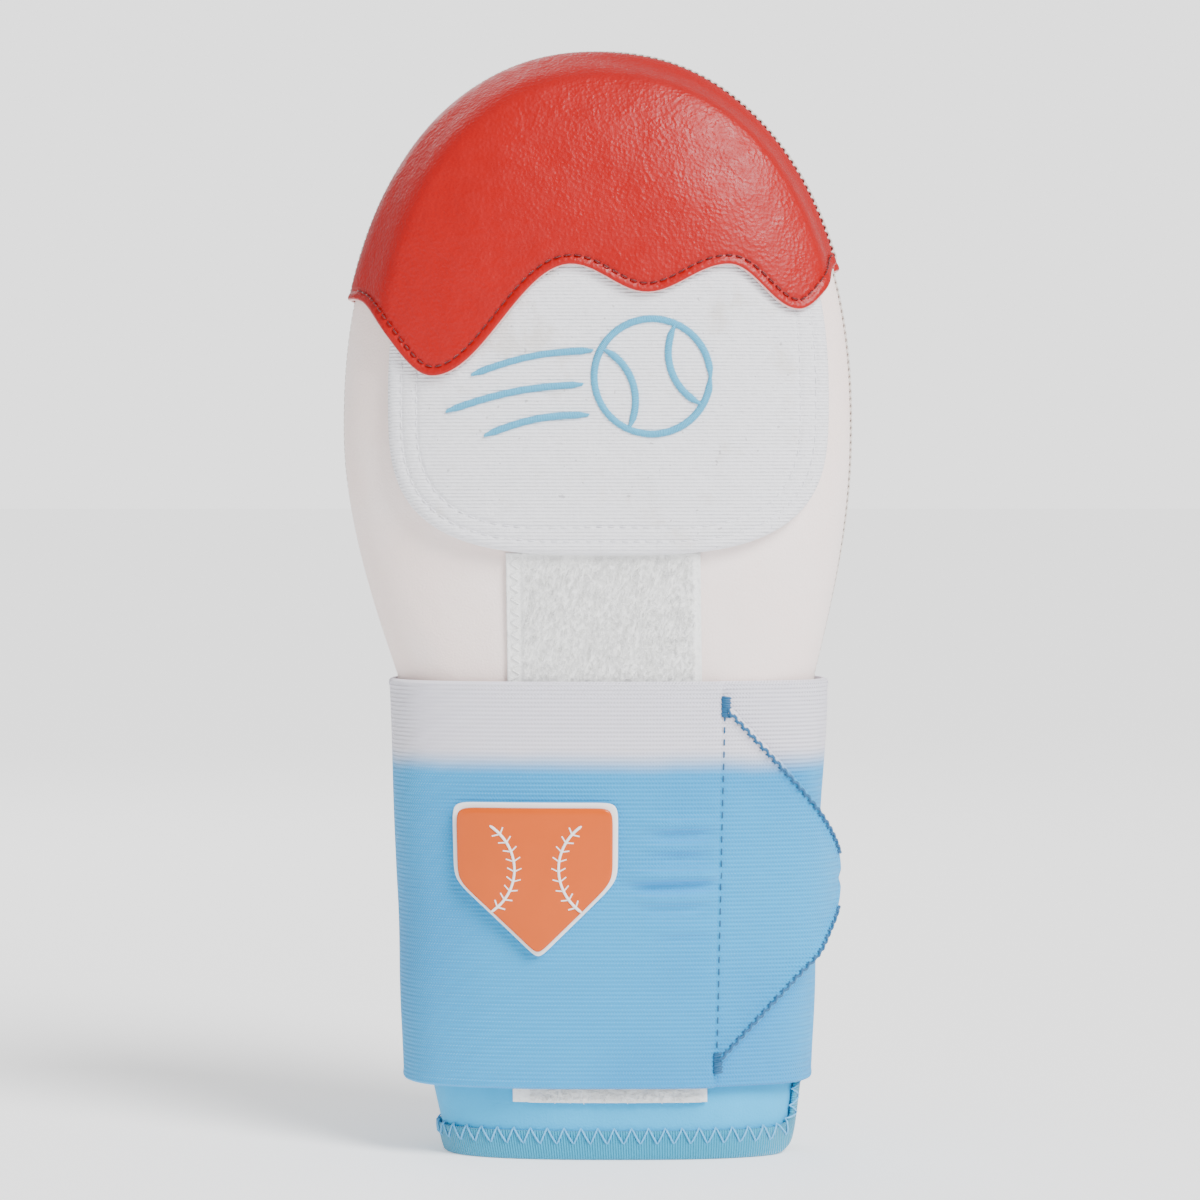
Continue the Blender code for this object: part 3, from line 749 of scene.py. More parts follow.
# What a user would change
class MittColours(bpy.types.PropertyGroup):
    """Colours of the mitt's fabrics, in linear light."""

    def tone(name, description, default):
        limits = {"subtype": "COLOR", "size": 3, "min": 0.0, "max": 1.0}
        return FloatVectorProperty(name=name, description=description, default=default, **limits)

    body: tone("Body", "Neoprene over the hand", (0.93, 0.81, 0.78))
    body_warm: tone("Warm Body", "Warmer patches of the same neoprene", (0.93, 0.775, 0.73))
    cuff: tone("Cuff", "Neoprene below the strap", (0.0, 0.42, 0.78))
    leather: tone("Leather", "Caps over the fingertips", (0.36, 0.0, 0.0003))
    leather_edge: tone("Cut Leather", "Raw edge of the leather", (0.80, 0.46, 0.44))
    pad: tone("Pad", "Ribbed fabric over the knuckles", (0.88, 0.875, 0.92))
    pad_soil: tone("Pad Soil", "Faint marks on the pad", (0.62, 0.56, 0.50))
    pad_speck: tone("Pad Specks", "Dark flecks in the pad's fabric", (0.36, 0.34, 0.36))
    loop: tone("Loop Tape", "Pile down the middle of the back", (0.93, 0.93, 0.92))
    strap: tone("Strap", "Dyed part of the elastic", (0.0, 0.41, 0.86))
    # Darker dye in random patches, and also the painted shade in the elastic's rib gaps and weave
    strap_deep_dye_and_shade: tone("Deep Strap", "Darker dye in the elastic", (0.0, 0.28, 0.68))
    strap_top: tone("Strap Top", "Undyed part of the elastic", (0.84, 0.82, 0.92))
    binding: tone("Binding", "Stretch tape round the cuff", (0.0, 0.34, 0.56))
    white_thread: tone("White Thread", "Side seam", (0.70, 0.64, 0.59))
    red_thread: tone("Red Thread", "Row inside the leather's edge", (0.11, 0.0, 0.001))
    blue_thread: tone("Blue Thread", "Rows on the strap and its tab", (0.008, 0.115, 0.27))
    pale_thread: tone("Pale Thread", "Zigzag along the binding", (0.10, 0.46, 0.78))
    embroidery: tone("Embroidery", "Ball and streaks on the pad", (0.07, 0.42, 0.66))
    badge: tone("Badge", "Glossy face of the badge", (0.58, 0.082, 0.0))
    badge_rim: tone("Badge Rim", "Backing of the badge and its raised lines", (0.88, 0.88, 0.88))


class MittSizes(bpy.types.PropertyGroup):
    """Sizes of what is sewn on and into the mitt."""

    def length(name, description, default):
        settings = {"unit": "LENGTH", "precision": 5}
        return FloatProperty(name=name, description=description, default=default, **settings)

    seam_pitch: length("Seam Pitch", "Length of one zigzag of the side seam", 0.0019)
    seam_width: length("Seam Width", "Width of the side seam's zigzag", 0.0024)
    seam_thread: length("Seam Thread", "Thickness of the side seam's thread", 0.00058)
    row_pitch: length("Row Pitch", "From one straight stitch to the next", 0.0026)
    row_thread: length("Row Thread", "Thickness of the straight rows' thread", 0.00042)
    tab_thread: length("Tab Thread", "Thickness of the cord along the tab", 0.0007)
    binding_pitch: length("Binding Pitch", "Length of one zigzag along the binding", 0.0043)
    pile_height: length("Pile Height", "Height of the tape's loops", 0.0009)
    pile_count: IntProperty(
        name="Pile Loops", description="Loops on the part of the tape that shows", default=5200
    )


def mitt_sizes():
    return bpy.context.scene.mitt_sizes


def mitt_colours():
    return bpy.context.scene.mitt_colours


# Neoprene body
def body_rows():
    """Climbs of the body's rows: wide apart where the strap hides them, close over the hand."""
    low = [EDGE_INSET + (CORNER_RISE - EDGE_INSET) * (i / 10) ** 1.5 for i in range(10)]
    low += [mix(CORNER_RISE, SLIT_TOP, i / 24) for i in range(24)]
    low += [mix(SLIT_TOP, WRIST_HEIGHT, i / 10) for i in range(10)]
    low += [mix(WRIST_HEIGHT, KNUCKLE_HEIGHT, i / 46) for i in range(46)]
    return [climb_at(height) for height in low] + shares(64)


def build_body(name, node, palm):
    climbs = body_rows()
    shift = Vector((0, SEAM_GAP / 2 if palm else -SEAM_GAP / 2, 0))

    def place(across, row, outer):
        climb = climbs[round(row * (len(climbs) - 1))]
        angle = panel_angle(climb, across, palm, edge_back_off(height_at(climb)))
        offset = -NEOPRENE
        if outer:
            here = skin(angle, climb)
            drape = noise.noise(here * 30) * 0.0004
            offset = drape * min(1.0, 8 * across, 8 - 8 * across) - pucker(across, climb, palm)
        edge = min(across, 1 - across) * girth(climb) / 2
        return skin(angle, climb, offset) + shift, (across * girth(climb) / 2, height_at(climb), edge)

    mesh = slab(shares(120, 0.85), shares(len(climbs) - 1), place)
    look = material("neoprene", neoprene_look, mitt_colours())
    piece = mesh_object(name, mesh, look, node)


class MITT_OT_body(bpy.types.Operator):
    """Make the back and the palm of the hollow neoprene body"""

    bl_idname = "mitt.body"
    bl_label = "Body"

    def execute(self, context):
        build_body("neoprene_back", "back_panel", False)
        build_body("neoprene_palm", "palm_panel", True)
        return {"FINISHED"}


# Leather caps
CAP_ROW_INSET = 0.0024
STITCH_DIP = 0.00030
EDGE_CURL = 0.0004


def edge_climb(across, palm):
    edge = palm_edge if palm else drip_edge
    low, high = climb_at(DRIP_CREST_HEIGHT - 1.5 * DRIP_DROP), climb_at(DRIP_CREST_HEIGHT + DRIP_DROP)
    for _ in range(30):
        middle = (low + high) / 2
        point = skin(panel_angle(middle, across, palm), middle)
        low, high = (middle, high) if point.z < edge(point.x) else (low, middle)
    return low


def cap_inset(point, palm):
    """How far in from the leather's cut edge a point of it lies."""
    edge = palm_edge if palm else drip_edge
    slope = (edge(point.x + 0.0005) - edge(point.x - 0.0005)) / 0.001
    return max(0.0, point.z - edge(point.x)) / math.sqrt(1 + slope * slope)


def build_cap(name, node, palm, columns):
    sides = shares(columns, 0.6)
    starts = {across: edge_climb(across, palm) for across in sides}
    shift = Vector((0, SEAM_GAP / 2 if palm else -SEAM_GAP / 2, 0))

    def place(across, along, outer):
        climb = mix(starts[across], 1.0, along)
        angle = panel_angle(climb, across, palm)
        here = skin(angle, climb)
        from_seam = min(across, 1 - across) * girth(climb) / 2
        from_edge = cap_inset(here, palm)
        offset = LAYER_GAP
        if outer:
            grain = noise.noise(here * 55) * 0.0003
            offset += LEATHER * mix(0.45, 1.0, round_off(from_edge, 0.0009)) + grain
        if not palm:
            offset += pad_rise(here, from_seam) + EDGE_CURL * (1 - smooth(from_edge, 0.0, 0.004))
        offset -= pucker(across, climb, palm)
        offset -= STITCH_DIP * hump(from_edge, CAP_ROW_INSET, 0.0007) * outer
        return skin(angle, climb, offset) + shift, (across, along, from_edge)

    rows = [share**1.7 for share in shares(110)]
    mesh = slab(sides, rows, place)
    look = material("pebbled_leather", leather_look, mitt_colours())
    mesh_object(name, mesh, look, node)


class MITT_OT_caps(bpy.types.Operator):
    """Make the leather over the fingertips, with its dripping edge, and the palm's plain cap"""

    bl_idname = "mitt.caps"
    bl_label = "Leather Caps"

    def execute(self, context):
        build_cap("leather_cap", "finger_cap", False, 260)
        build_cap("leather_palm_cap", "palm_cap", True, 150)
        return {"FINISHED"}


# Knuckle pad
Ring = namedtuple("Ring", "inset field up")


PAD_ROLL = 0.0022
PAD_FIELD = 0.0095
PAD_ROWS = (0.0037, 0.0074)


def pad_rings():
    """Rings of the pad: flat below, round at the edge, and close together over its sewn rows."""
    rings = [Ring(PAD_FIELD, i / 6, 0.0) for i in range(6)]
    rings += [Ring(mix(PAD_FIELD, PAD_ROLL, i / 4), 1.0, 0.0) for i in range(4)]
    for i in range(11):
        turn = math.pi * (i / 10 - 0.5)
        rings.append(Ring(PAD_ROLL * (1 - math.cos(turn)), 1.0, 0.5 + 0.5 * math.sin(turn)))
    rings += [Ring(mix(PAD_ROLL, PAD_FIELD, i / 24), 1.0, 1.0) for i in range(1, 25)]
    rings += [Ring(PAD_FIELD, 1 - i / 36, 1.0) for i in range(1, 37)]
    return rings


def build_pad():
    def place(turn, ring):
        x, height = pad_outline(turn)
        reach = math.hypot(x, height - PAD_WIDEST_HEIGHT)
        out = (1 - ring.inset / reach) * ring.field
        x, height = PAD_CENTRE + x * out, mix(PAD_WIDEST_HEIGHT, height, out)
        offset = LAYER_GAP + PAD_THICKNESS * ring.up
        if ring.up == 1:
            inset = reach * (1 - out)
            offset -= sum(0.00035 * hump(inset, row, 0.0006) for row in PAD_ROWS)
            offset += 0.0002 * noise.noise(Vector((x, 0, height)) * 70)
        return front_point(x, height, offset), (x, height, reach * (1 - out))

    look = material("ribbed_pad_fabric", pad_look, mitt_colours())
    mesh = patch(pad_rings(), 260, place)
    piece = mesh_object("padded_knuckles", mesh, look, "knuckle_pad")


class MITT_OT_pad(bpy.types.Operator):
    """Make the stuffed pad of ribbed fabric over the knuckles"""

    bl_idname = "mitt.pad"
    bl_label = "Knuckle Pad"

    def execute(self, context):
        build_pad()
        return {"FINISHED"}


# Loop tape
TAPE_DRIFT = 0.0018
SELVAGE = 0.0040
FAR_SELVAGE = 0.0012


def tape_x(across, height):
    """The tape drifts a little to the right on its way down."""
    drift = TAPE_DRIFT * (1 - (height - TAPE_HEM_HEIGHT) / (PAD_BOTTOM - TAPE_HEM_HEIGHT))
    return TAPE_CENTRE + drift + TAPE_WIDTH * (across - 0.5)


def build_tape():
    top = PAD_BOTTOM + 0.0006
    show = STRAP_TOP - 0.004

    def place(across, along, outer):
        height = mix(TAPE_HEM_HEIGHT, show, along * 2) if along < 0.5 else mix(show, top, along * 2 - 1)
        x = tape_x(across, height)
        near = across * TAPE_WIDTH
        far = (1 - across) * TAPE_WIDTH
        pile = smooth(near, SELVAGE - 0.0004, SELVAGE + 0.0004)
        pile *= smooth(far, FAR_SELVAGE, FAR_SELVAGE + 0.0006)
        tuft = 0.5 + 0.5 * noise.noise(Vector((x, 0, height)) * 900)
        offset = LAYER_GAP
        if outer:
            offset += TAPE_THICKNESS * mix(0.62, 0.85, pile) + 0.0003 * tuft * pile
        return front_point(x, height, offset), (near, height, min(near, far))

    mesh = slab(shares(130), shares(150), place)
    look = material("loop_pile", loop_look, mitt_colours())
    piece = mesh_object("looped_tape", mesh, look, "loop_tape")


def build_pile():
    """Small loops of yarn standing on the tape where it shows."""
    sizes = mitt_sizes()
    dice = random.Random(7)
    strands = []
    for _ in range(sizes.pile_count):
        height = dice.uniform(STRAP_TOP + 0.0005, PAD_BOTTOM - 0.0006)
        if dice.random() < 0.1:
            height = dice.uniform(TAPE_HEM_HEIGHT + 0.0002, STRAP_HEM_HEIGHT - 0.0004)
        across = dice.uniform((SELVAGE + 0.0003) / TAPE_WIDTH, 1 - (FAR_SELVAGE + 0.0005) / TAPE_WIDTH)
        x = tape_x(across, height)
        lean = dice.uniform(0, 2 * math.pi)
        side = Vector((math.cos(lean), 0, math.sin(lean))) * dice.uniform(0.0004, 0.0008)
        tall = sizes.pile_height * dice.uniform(0.55, 1.0)
        base = LAYER_GAP + TAPE_THICKNESS * 0.8
        foot = front_point(x, height, base)
        crown = foot + Vector((0, -tall, 0)) + side * dice.uniform(-0.4, 0.4)
        strands.append([foot - side / 2, crown - side / 3, crown + side / 3, foot + side / 2])
    look = material("loop_pile", loop_look, mitt_colours())
    mesh_object("tape_pile", thread_mesh(strands, 0.00007, 0), look)


class MITT_OT_tape(bpy.types.Operator):
    """Make the loop tape down the middle of the back, with its pile"""

    bl_idname = "mitt.tape"
    bl_label = "Loop Tape"

    def execute(self, context):
        build_tape()
        build_pile()
        return {"FINISHED"}


# Elastic strap
def strap_form(height):
    body = body_form(climb_at(height))
    ease = 1 - (height - STRAP_HEM_HEIGHT) / STRAP_WIDTH
    depth = STRAP_EASE_DEPTH * ease
    left, right = body.left - STRAP_EASE_LEFT * ease, body.right + STRAP_EASE_RIGHT * ease
    return Form(left, right, body.front + depth, body.palm + depth)


def strap_angle_at(x):
    form = strap_form(STRAP_MIDDLE)
    share = (x - (form.left + form.right) / 2) / ((form.right - form.left) / 2)
    return math.acos(-signed_power(share, SECTION_POWER / 2))


# Angles from the side seam over which the strap comes down from the binding, and past one turn
# over which it climbs on its own first layer
OVER_BINDING = (0.42, 0.9)
SECOND_LAYER = (0.05, 0.75)


def strap_lift(angle):
    """How far the strap's inner face stands off its form at this angle, counted on past a full turn."""
    from_side = abs(angle % (2 * math.pi) - math.pi)
    over_binding = 1 - smooth(from_side, *OVER_BINDING)
    second_layer = smooth(angle - 2 * math.pi, *SECOND_LAYER)
    tab = smooth(angle, 2 * math.pi + strap_angle_at(TAB_SEAM_X), 3 * math.pi)
    lift = LAYER_GAP + SEAM_GAP / 2 + (BINDING_THICKNESS + LAYER_GAP) * over_binding
    return lift + (STRAP_THICKNESS + LAYER_GAP) * second_layer + TAB_LIFT * tab


def strap_normal(angle, height):
    form = strap_form(height)
    step = 1e-3
    along = section_point(form, angle + step) - section_point(form, angle - step)
    return Vector((along.y, -along.x, 0)).normalized()


def strap_point(angle, height, offset):
    form = strap_form(height)
    here = section_point(form, angle)
    return Vector((*here, height)) + strap_normal(angle, height) * (strap_lift(angle) + offset)


@lru_cache(maxsize=None)
def strap_table():
    """Angles along the strap, distances along it, and the distance of the tab's seam."""
    first = strap_angle_at(TAB_SEAM_X - STRAP_UNDERLAP)
    seam = strap_angle_at(TAB_SEAM_X) + 2 * math.pi
    count = 900
    angles = [mix(first, 3.6 * math.pi, i / count) for i in range(count + 1)]
    distances = distances_along([strap_point(angle, STRAP_MIDDLE, 0) for angle in angles])
    return angles, distances, read_table(angles, distances, seam)


def strap_angle(past_seam):
    """Angle of the point this far past the tab's seam; negative before it."""
    angles, distances, to_seam = strap_table()
    return read_table(distances, angles, to_seam + past_seam)


def strap_edges(past_seam):
    """Lower and upper edge of the strap, which narrows to a blunt point beyond the tab's seam."""
    inset = 0.0
    if past_seam > 1e-9:
        inset = mix(TAB_SHOULDER, (STRAP_WIDTH - TAB_NOSE) / 2, past_seam / TAB_LENGTH)
    return STRAP_HEM_HEIGHT + inset, STRAP_TOP - inset


Crease = namedtuple("Crease", "height start end depth")
# Creases that run into the tab's seam: start and end are distances before it
CREASES = (
    Crease(0.0868, 0.024, 0.002, 0.0014),
    Crease(0.0810, 0.022, 0.003, 0.0012),
    Crease(0.0738, 0.028, 0.001, 0.0020),
    Crease(0.0680, 0.026, 0.003, 0.0014),
    Crease(0.0600, 0.022, 0.002, 0.0009),
)


CREASED = 0.056
# The small swelling beside the tab's lower edge
TUCK = Crease(0.0525, 0.026, 0.026, 0.0011)


def strap_relief(past_seam, height):
    """How far the strap's outer face stands proud or hollow: creases, waves and the folded tab."""
    relief = 0.0005 * noise.noise(Vector((past_seam * 22, height * 40, 3)))
    relief += TUCK.depth * hump(past_seam, TUCK.start, 0.007) * hump(height, TUCK.height, 0.004)
    for crease in CREASES:
        length = smooth(-past_seam, crease.end - 0.004, crease.end + 0.004)
        length *= 1 - smooth(-past_seam, crease.start - 0.012, crease.start)
        drift = height - crease.height - 0.03 * (past_seam + crease.end)
        relief += crease.depth * length * (hump(drift, 0.0, 0.0015) - 0.7 * hump(drift, -0.0028, 0.0014))
    relief -= 0.0004 * hump(past_seam, 0.0, 0.0008)
    return relief


def build_strap():
    _, _, to_seam = strap_table()
    around = [mix(-to_seam, -CREASED, i / 120) for i in range(120)]
    creased = [mix(-CREASED, 0.0, i / 76) for i in range(77)]
    tab = [mix(TAB_SHOULDER / 4, TAB_LENGTH, i / 44) for i in range(45)]
    places = around + creased + tab

    def place(across, along, outer):
        past_seam = places[round(along * (len(places) - 1))]
        low, high = strap_edges(past_seam)
        angle = strap_angle(past_seam)
        height = mix(low, high, across)
        edge = min(height - low, high - height)
        offset = 0.0
        if outer:
            rounded = mix(0.5, 1.0, round_off(edge, 0.0008))
            offset = STRAP_THICKNESS * rounded + strap_relief(past_seam, height)
            if past_seam > 0:
                offset += 0.0007 * hump(edge, 0.002, 0.002)
            else:
                offset += 0.00018 * hump(edge, 0.0012, 0.0008)
        return strap_point(angle, height, offset), (height, past_seam, edge)

    mesh = slab(shares(180, 0.5), shares(len(places) - 1), place)
    look = material("woven_elastic", elastic_look, mitt_colours())
    piece = mesh_object("elastic_strap", mesh, look, "wrist_strap")


def strap_surface(past_seam, height, offset=0.0):
    """Point and outward direction on the strap's outer face."""
    angle = strap_angle(past_seam)
    relief = strap_relief(past_seam, height)
    point = strap_point(angle, height, STRAP_THICKNESS + relief + offset)
    return point, strap_normal(angle, height)


class MITT_OT_strap(bpy.types.Operator):
    """Make the wide elastic strap, from beside the slit round the wrist to its folded tab"""

    bl_idname = "mitt.strap"
    bl_label = "Elastic Strap"

    def execute(self, context):
        build_strap()
        return {"FINISHED"}


# Binding of the cuff
def binding_route(steps):
    """The tape's fold line as (distance from the slit, height, inward turn), over front and back."""
    near = SLIT_OPENING / 2
    floor = climb_at(0)
    half = [(near, mix(SLIT_TOP, CORNER_RISE, i / steps), 0.0) for i in range(steps)]
    for i in range(13):
        turn = i / 12 * math.pi / 2
        run = near + CORNER_RUN * (1 - math.cos(turn))
        half.append((run, CORNER_RISE * (1 - math.sin(turn)), turn))
    corner = angle_along(floor, near + CORNER_RUN)
    count = 2 * steps
    hem = [distance_to(floor, mix(corner, 0.0, i / count)) for i in range(1, count + 1)]
    half += [(distance, 0.0, math.pi / 2) for distance in hem]
    back = [(-distance, height, math.pi - turn) for distance, height, turn in reversed(half[:-1])]
    return [*half, *back]


def binding_point(station, inward, offset):
    distance, height, turn = station
    distance += inward * math.cos(turn)
    climb = climb_at(max(0.0, height + inward * math.sin(turn)))
    distance *= mix(1, girth(climb) / girth(climb_at(0)), math.sin(turn))
    flat = skin(angle_along(climb, distance), climb, offset).xy
    return Vector((*flat, height + inward * math.sin(turn)))


def binding_profile():
    """The folded tape's section as (inward, offset): a U with round shoulders and a soft outer face."""
    inner = -NEOPRENE - LAYER_GAP
    outer = LAYER_GAP + BINDING_THICKNESS
    legs = [mix(0.0014, BINDING_WIDTH - 0.0003, i / 9) for i in range(10)]
    profile = [(0.0, -0.0012), (0.0001, outer - 0.0005), (0.0005, outer - 0.00012)]
    profile += [(inward, outer + 0.00012 * math.sin(math.pi * i / 9)) for i, inward in enumerate(legs)]
    profile += [(BINDING_WIDTH, LAYER_GAP + BINDING_THICKNESS / 2), (BINDING_WIDTH - 0.0003, LAYER_GAP)]
    profile += [(inward, LAYER_GAP) for inward in reversed(legs[:-1:3])]
    profile += [(BINDING_THICKNESS, 0.0), (BINDING_THICKNESS, inner)]
    profile += [(inward, inner) for inward in legs[1::3]]
    thin = inner - BINDING_THICKNESS
    profile += [(BINDING_WIDTH, inner - BINDING_THICKNESS / 2)]
    profile += [(inward, thin) for inward in reversed(legs[::3])]
    profile += [(0.0004, thin + 0.0001), (0.0, thin + 0.0006)]
    return profile


def build_binding():
    stations = binding_route(60)
    profile = binding_profile()
    bm = bmesh.new()
    lay = bm.verts.layers.float_vector.new("lay")
    run = 0.0
    loops = []
    last = None
    for station in stations:
        middle = binding_point(station, BINDING_WIDTH / 2, 0.0)
        run += (middle - last).length if last else 0.0
        last = middle
        corners = []
        for inward, offset in profile:
            vertex = bm.verts.new(binding_point(station, inward, offset))
            vertex[lay] = (inward, run, min(inward, BINDING_WIDTH - inward))
            corners.append(vertex)
        loops.append([bm.edges.new((a, b)) for a, b in zip(corners, corners[1:] + corners[:1])])
    bmesh.ops.contextual_create(bm, geom=loops[0])
    bmesh.ops.contextual_create(bm, geom=loops[-1])
    for first, second in zip(loops, loops[1:]):
        for one, other in zip(first, second):
            a, b = one.verts
            c, d = other.verts
            bm.faces.new((a, b, d, c))
    look = material("ribbed_binding", binding_look, mitt_colours())
    mesh_object("stretch_binding", closed_mesh(bm), look, "cuff_binding")


def build_binding_zigzag():
    """Pale zigzag over the binding's edge, on the outside of the cuff."""
    sizes = mitt_sizes()
    strands = []
    stations = binding_route(60)
    keys = distances_along([binding_point(station, BINDING_WIDTH, 0) for station in stations])

    def at(run, inward):
        values = [read_table(keys, [station[i] for station in stations], run) for i in range(3)]
        proud = LAYER_GAP + BINDING_THICKNESS + 0.00022 if inward < BINDING_WIDTH else 0.0009
        return binding_point(values, inward, proud)

    count = int(keys[-1] / (sizes.binding_pitch / 2))
    ends = []
    for i in range(count):
        inward = BINDING_WIDTH + 0.0007 if i % 2 else BINDING_WIDTH - 0.0034
        ends.append(at(i * sizes.binding_pitch / 2 + 0.0003, inward))
    for a, b in zip(ends, ends[1:]):
        middle = (a + b) / 2
        out = Vector((middle.x - HEM_LEAN, middle.y * 4, 0)).normalized()
        strands.append(stitch(a, b, out, 0.0003, 0.00045))
    look = material("pale_thread", thread_look, "pale_thread", mitt_colours().pale_thread)
    mesh_object("binding_zigzag", thread_mesh(strands, sizes.row_thread * 0.65), look)


class MITT_OT_binding(bpy.types.Operator):
    """Make the ribbed tape folded over the cuff's edge, and its zigzag"""

    bl_idname = "mitt.binding"
    bl_label = "Cuff Binding"

    def execute(self, context):
        build_binding()
        build_binding_zigzag()
        return {"FINISHED"}


# Side seam
def seam_point(climb, right):
    """Point of the side seam on the outermost layer, and its outward direction."""
    distance = right_seam(climb) if right else left_seam(climb)
    angle = angle_along(climb, distance)
    here = skin(angle, climb)
    edge = PALM_CAP_RIGHT if right else PALM_CAP_LEFT
    cover = (LAYER_GAP + LEATHER) * smooth(here.z, edge - 0.0006, edge + 0.0006)
    offset = cover - PUCKER_DEPTH * 0.15
    return here + skin_normal(angle, climb) * offset, skin_normal(angle, climb)


def seam_line():
    """Points and outward directions of the side seam, from the left wrist over the tip to the right."""
    lowest = climb_at(WRIST_HEIGHT - 0.006)
    climbs = [mix(lowest, 0.0, i / 120) for i in range(120)]
    climbs += [math.sin(i / 260 * math.pi / 2) for i in range(260)]
    left = [seam_point(climb, False) for climb in climbs]
    right = [seam_point(climb, True) for climb in climbs]
    top = (Vector((0, 0, height_at(1.0) + LEATHER)), Vector((0, 0, 1)))
    return [*left, top, *reversed(right)]


def build_side_seam():
    sizes = mitt_sizes()
    line = seam_line()
    points = [point for point, _ in line]
    distances = distances_along(points)
    numbers = list(range(len(line)))

    def at(run, side):
        number = read_table(distances, numbers, run)
        low = min(int(number), len(line) - 2)
        share = number - low
        out = line[low][1].lerp(line[low + 1][1], share).normalized()
        along = (points[min(low + 2, len(line) - 1)] - points[max(low - 1, 0)]).normalized()
        across = along.cross(out).normalized()
        here = points[low].lerp(points[low + 1], share)
        return here + across * side * sizes.seam_width / 2 - out * 0.00012, out

    half = sizes.seam_pitch / 2
    ends = [at(i * half, 1 if i % 2 else -1) for i in range(int(distances[-1] / half))]
    strands = []
    for (a, out), (b, next_out) in zip(ends, ends[1:]):
        strands.append(stitch(a, b, (out + next_out).normalized(), 0.0004, 0.00022))
    look = material("white_thread", thread_look, "white_thread", mitt_colours().white_thread)
    mesh_object("side_seam", thread_mesh(strands, sizes.seam_thread / 2), look)


class MITT_OT_side_seam(bpy.types.Operator):
    """Sew the back to the palm with a flat zigzag"""

    bl_idname = "mitt.side_seam"
    bl_label = "Side Seam"

    def execute(self, context):
        build_side_seam()
        return {"FINISHED"}


# Straight rows of stitches
def row(points, outs, pitch, length, sink=0.0004, arch=0.00012):
    """Stitches along a line of points: each covers this length of the pitch."""
    distances = distances_along(points)
    strands = []
    for i in range(int(distances[-1] / pitch)):
        ends = []
        for run in (i * pitch, i * pitch + length):
            low = 0
            while low < len(points) - 2 and distances[low + 1] < run:
                low += 1
            share = (run - distances[low]) / max(1e-9, distances[low + 1] - distances[low])
            ends.append((points[low].lerp(points[low + 1], share), outs[low]))
        (a, out), (b, _) = ends
        strands.append(stitch(a, b, out, sink, arch))
    return strands


def leather_inset(climb, angle):
    """How far from the nearer side seam a point of the front lies."""
    distance = distance_to(climb, angle)
    return max(0.0, min(left_seam(climb) - distance, distance - right_seam(climb)))


def leather_row():
    """The row that follows the dripping edge a little way in from it."""
    edge = []
    for i in range(261):
        x = mix(-0.93, 0.93, i / 260) * HAND_WIDTH / 2
        edge.append(Vector((x, 0, drip_edge(x))))
    points, outs = [], []
    for before, here, after in zip(edge, edge[1:], edge[2:]):
        along = (after - before).normalized()
        place = here + Vector((-along.z, 0, along.x)) * CAP_ROW_INSET
        climb = climb_at(place.z)
        angle = front_angle(climb, place.x)
        offset = LAYER_GAP + LEATHER + pad_rise(skin(angle, climb), leather_inset(climb, angle)) + 0.0002
        outs.append(skin_normal(angle, climb))
        points.append(skin(angle, climb, offset) - Vector((0, SEAM_GAP / 2, 0)))
    return points, outs


def build_leather_row():
    sizes = mitt_sizes()
    points, outs = leather_row()
    strands = row(points, outs, sizes.row_pitch, sizes.row_pitch * 0.72)
    look = material("red_thread", thread_look, "red_thread", mitt_colours().red_thread)
    mesh_object("leather_stitches", thread_mesh(strands, sizes.row_thread / 2), look)


def build_pad_rows():
    sizes = mitt_sizes()
    strands = []
    for inset in PAD_ROWS:
        points, outs = [], []
        for i in range(240):
            turn = mix(-math.pi - 0.5, 0.5, i / 239)
            x, height = pad_outline(turn)
            reach = math.hypot(x, height - PAD_WIDEST_HEIGHT)
            out = 1 - inset / reach
            x, height = PAD_CENTRE + x * out, mix(PAD_WIDEST_HEIGHT, height, out)
            climb = climb_at(height)
            points.append(front_point(x, height, LAYER_GAP + PAD_THICKNESS - 0.0003))
            outs.append(skin_normal(front_angle(climb, x), climb))
        strands += row(points, outs, sizes.row_pitch * 1.15, sizes.row_pitch * 0.8, 0.0005, 0.0001)
    look = material("pad_thread", thread_look, "pad_thread", mitt_colours().pad)
    mesh_object("pad_stitches", thread_mesh(strands, sizes.row_thread * 0.4), look)


def build_tape_rows():
    """Fine zigzag down the tape's wide selvage."""
    pitch = 0.0030
    count = int((PAD_BOTTOM - STRAP_TOP + 0.004) / (pitch / 2))
    places = [PAD_BOTTOM - 0.0006 - i * pitch / 2 for i in range(count)]
    places = [height for height in places if height > STRAP_TOP - 0.002]
    ends = []
    for i, height in enumerate(places):
        across = (0.0009 if i % 2 else SELVAGE - 0.0006) / TAPE_WIDTH
        ends.append(front_point(tape_x(across, height), height, LAYER_GAP + TAPE_THICKNESS * 0.7))
    out = Vector((0, -1, 0))
    strands = [stitch(a, b, out, 0.0002, 0.00012) for a, b in zip(ends, ends[1:])]
    look = material("loop_thread", thread_look, "loop_thread", mitt_colours().loop)
    mesh = thread_mesh(strands, mitt_sizes().row_thread * 0.4)
    mesh_object("tape_stitches", mesh, look)


TAB_ROW_INSET = 0.0019


def tab_edge(upper):
    """Line just inside one slanting edge of the tab, from its corner towards the tip."""
    points, outs = [], []
    for i in range(61):
        past_seam = mix(0.0006, TAB_LENGTH - 0.003, i / 60)
        low, high = strap_edges(past_seam)
        height = high - TAB_ROW_INSET if upper else low + TAB_ROW_INSET
        point, out = strap_surface(past_seam, height, 0.0007)
        points.append(point)
        outs.append(out)
    return points, outs


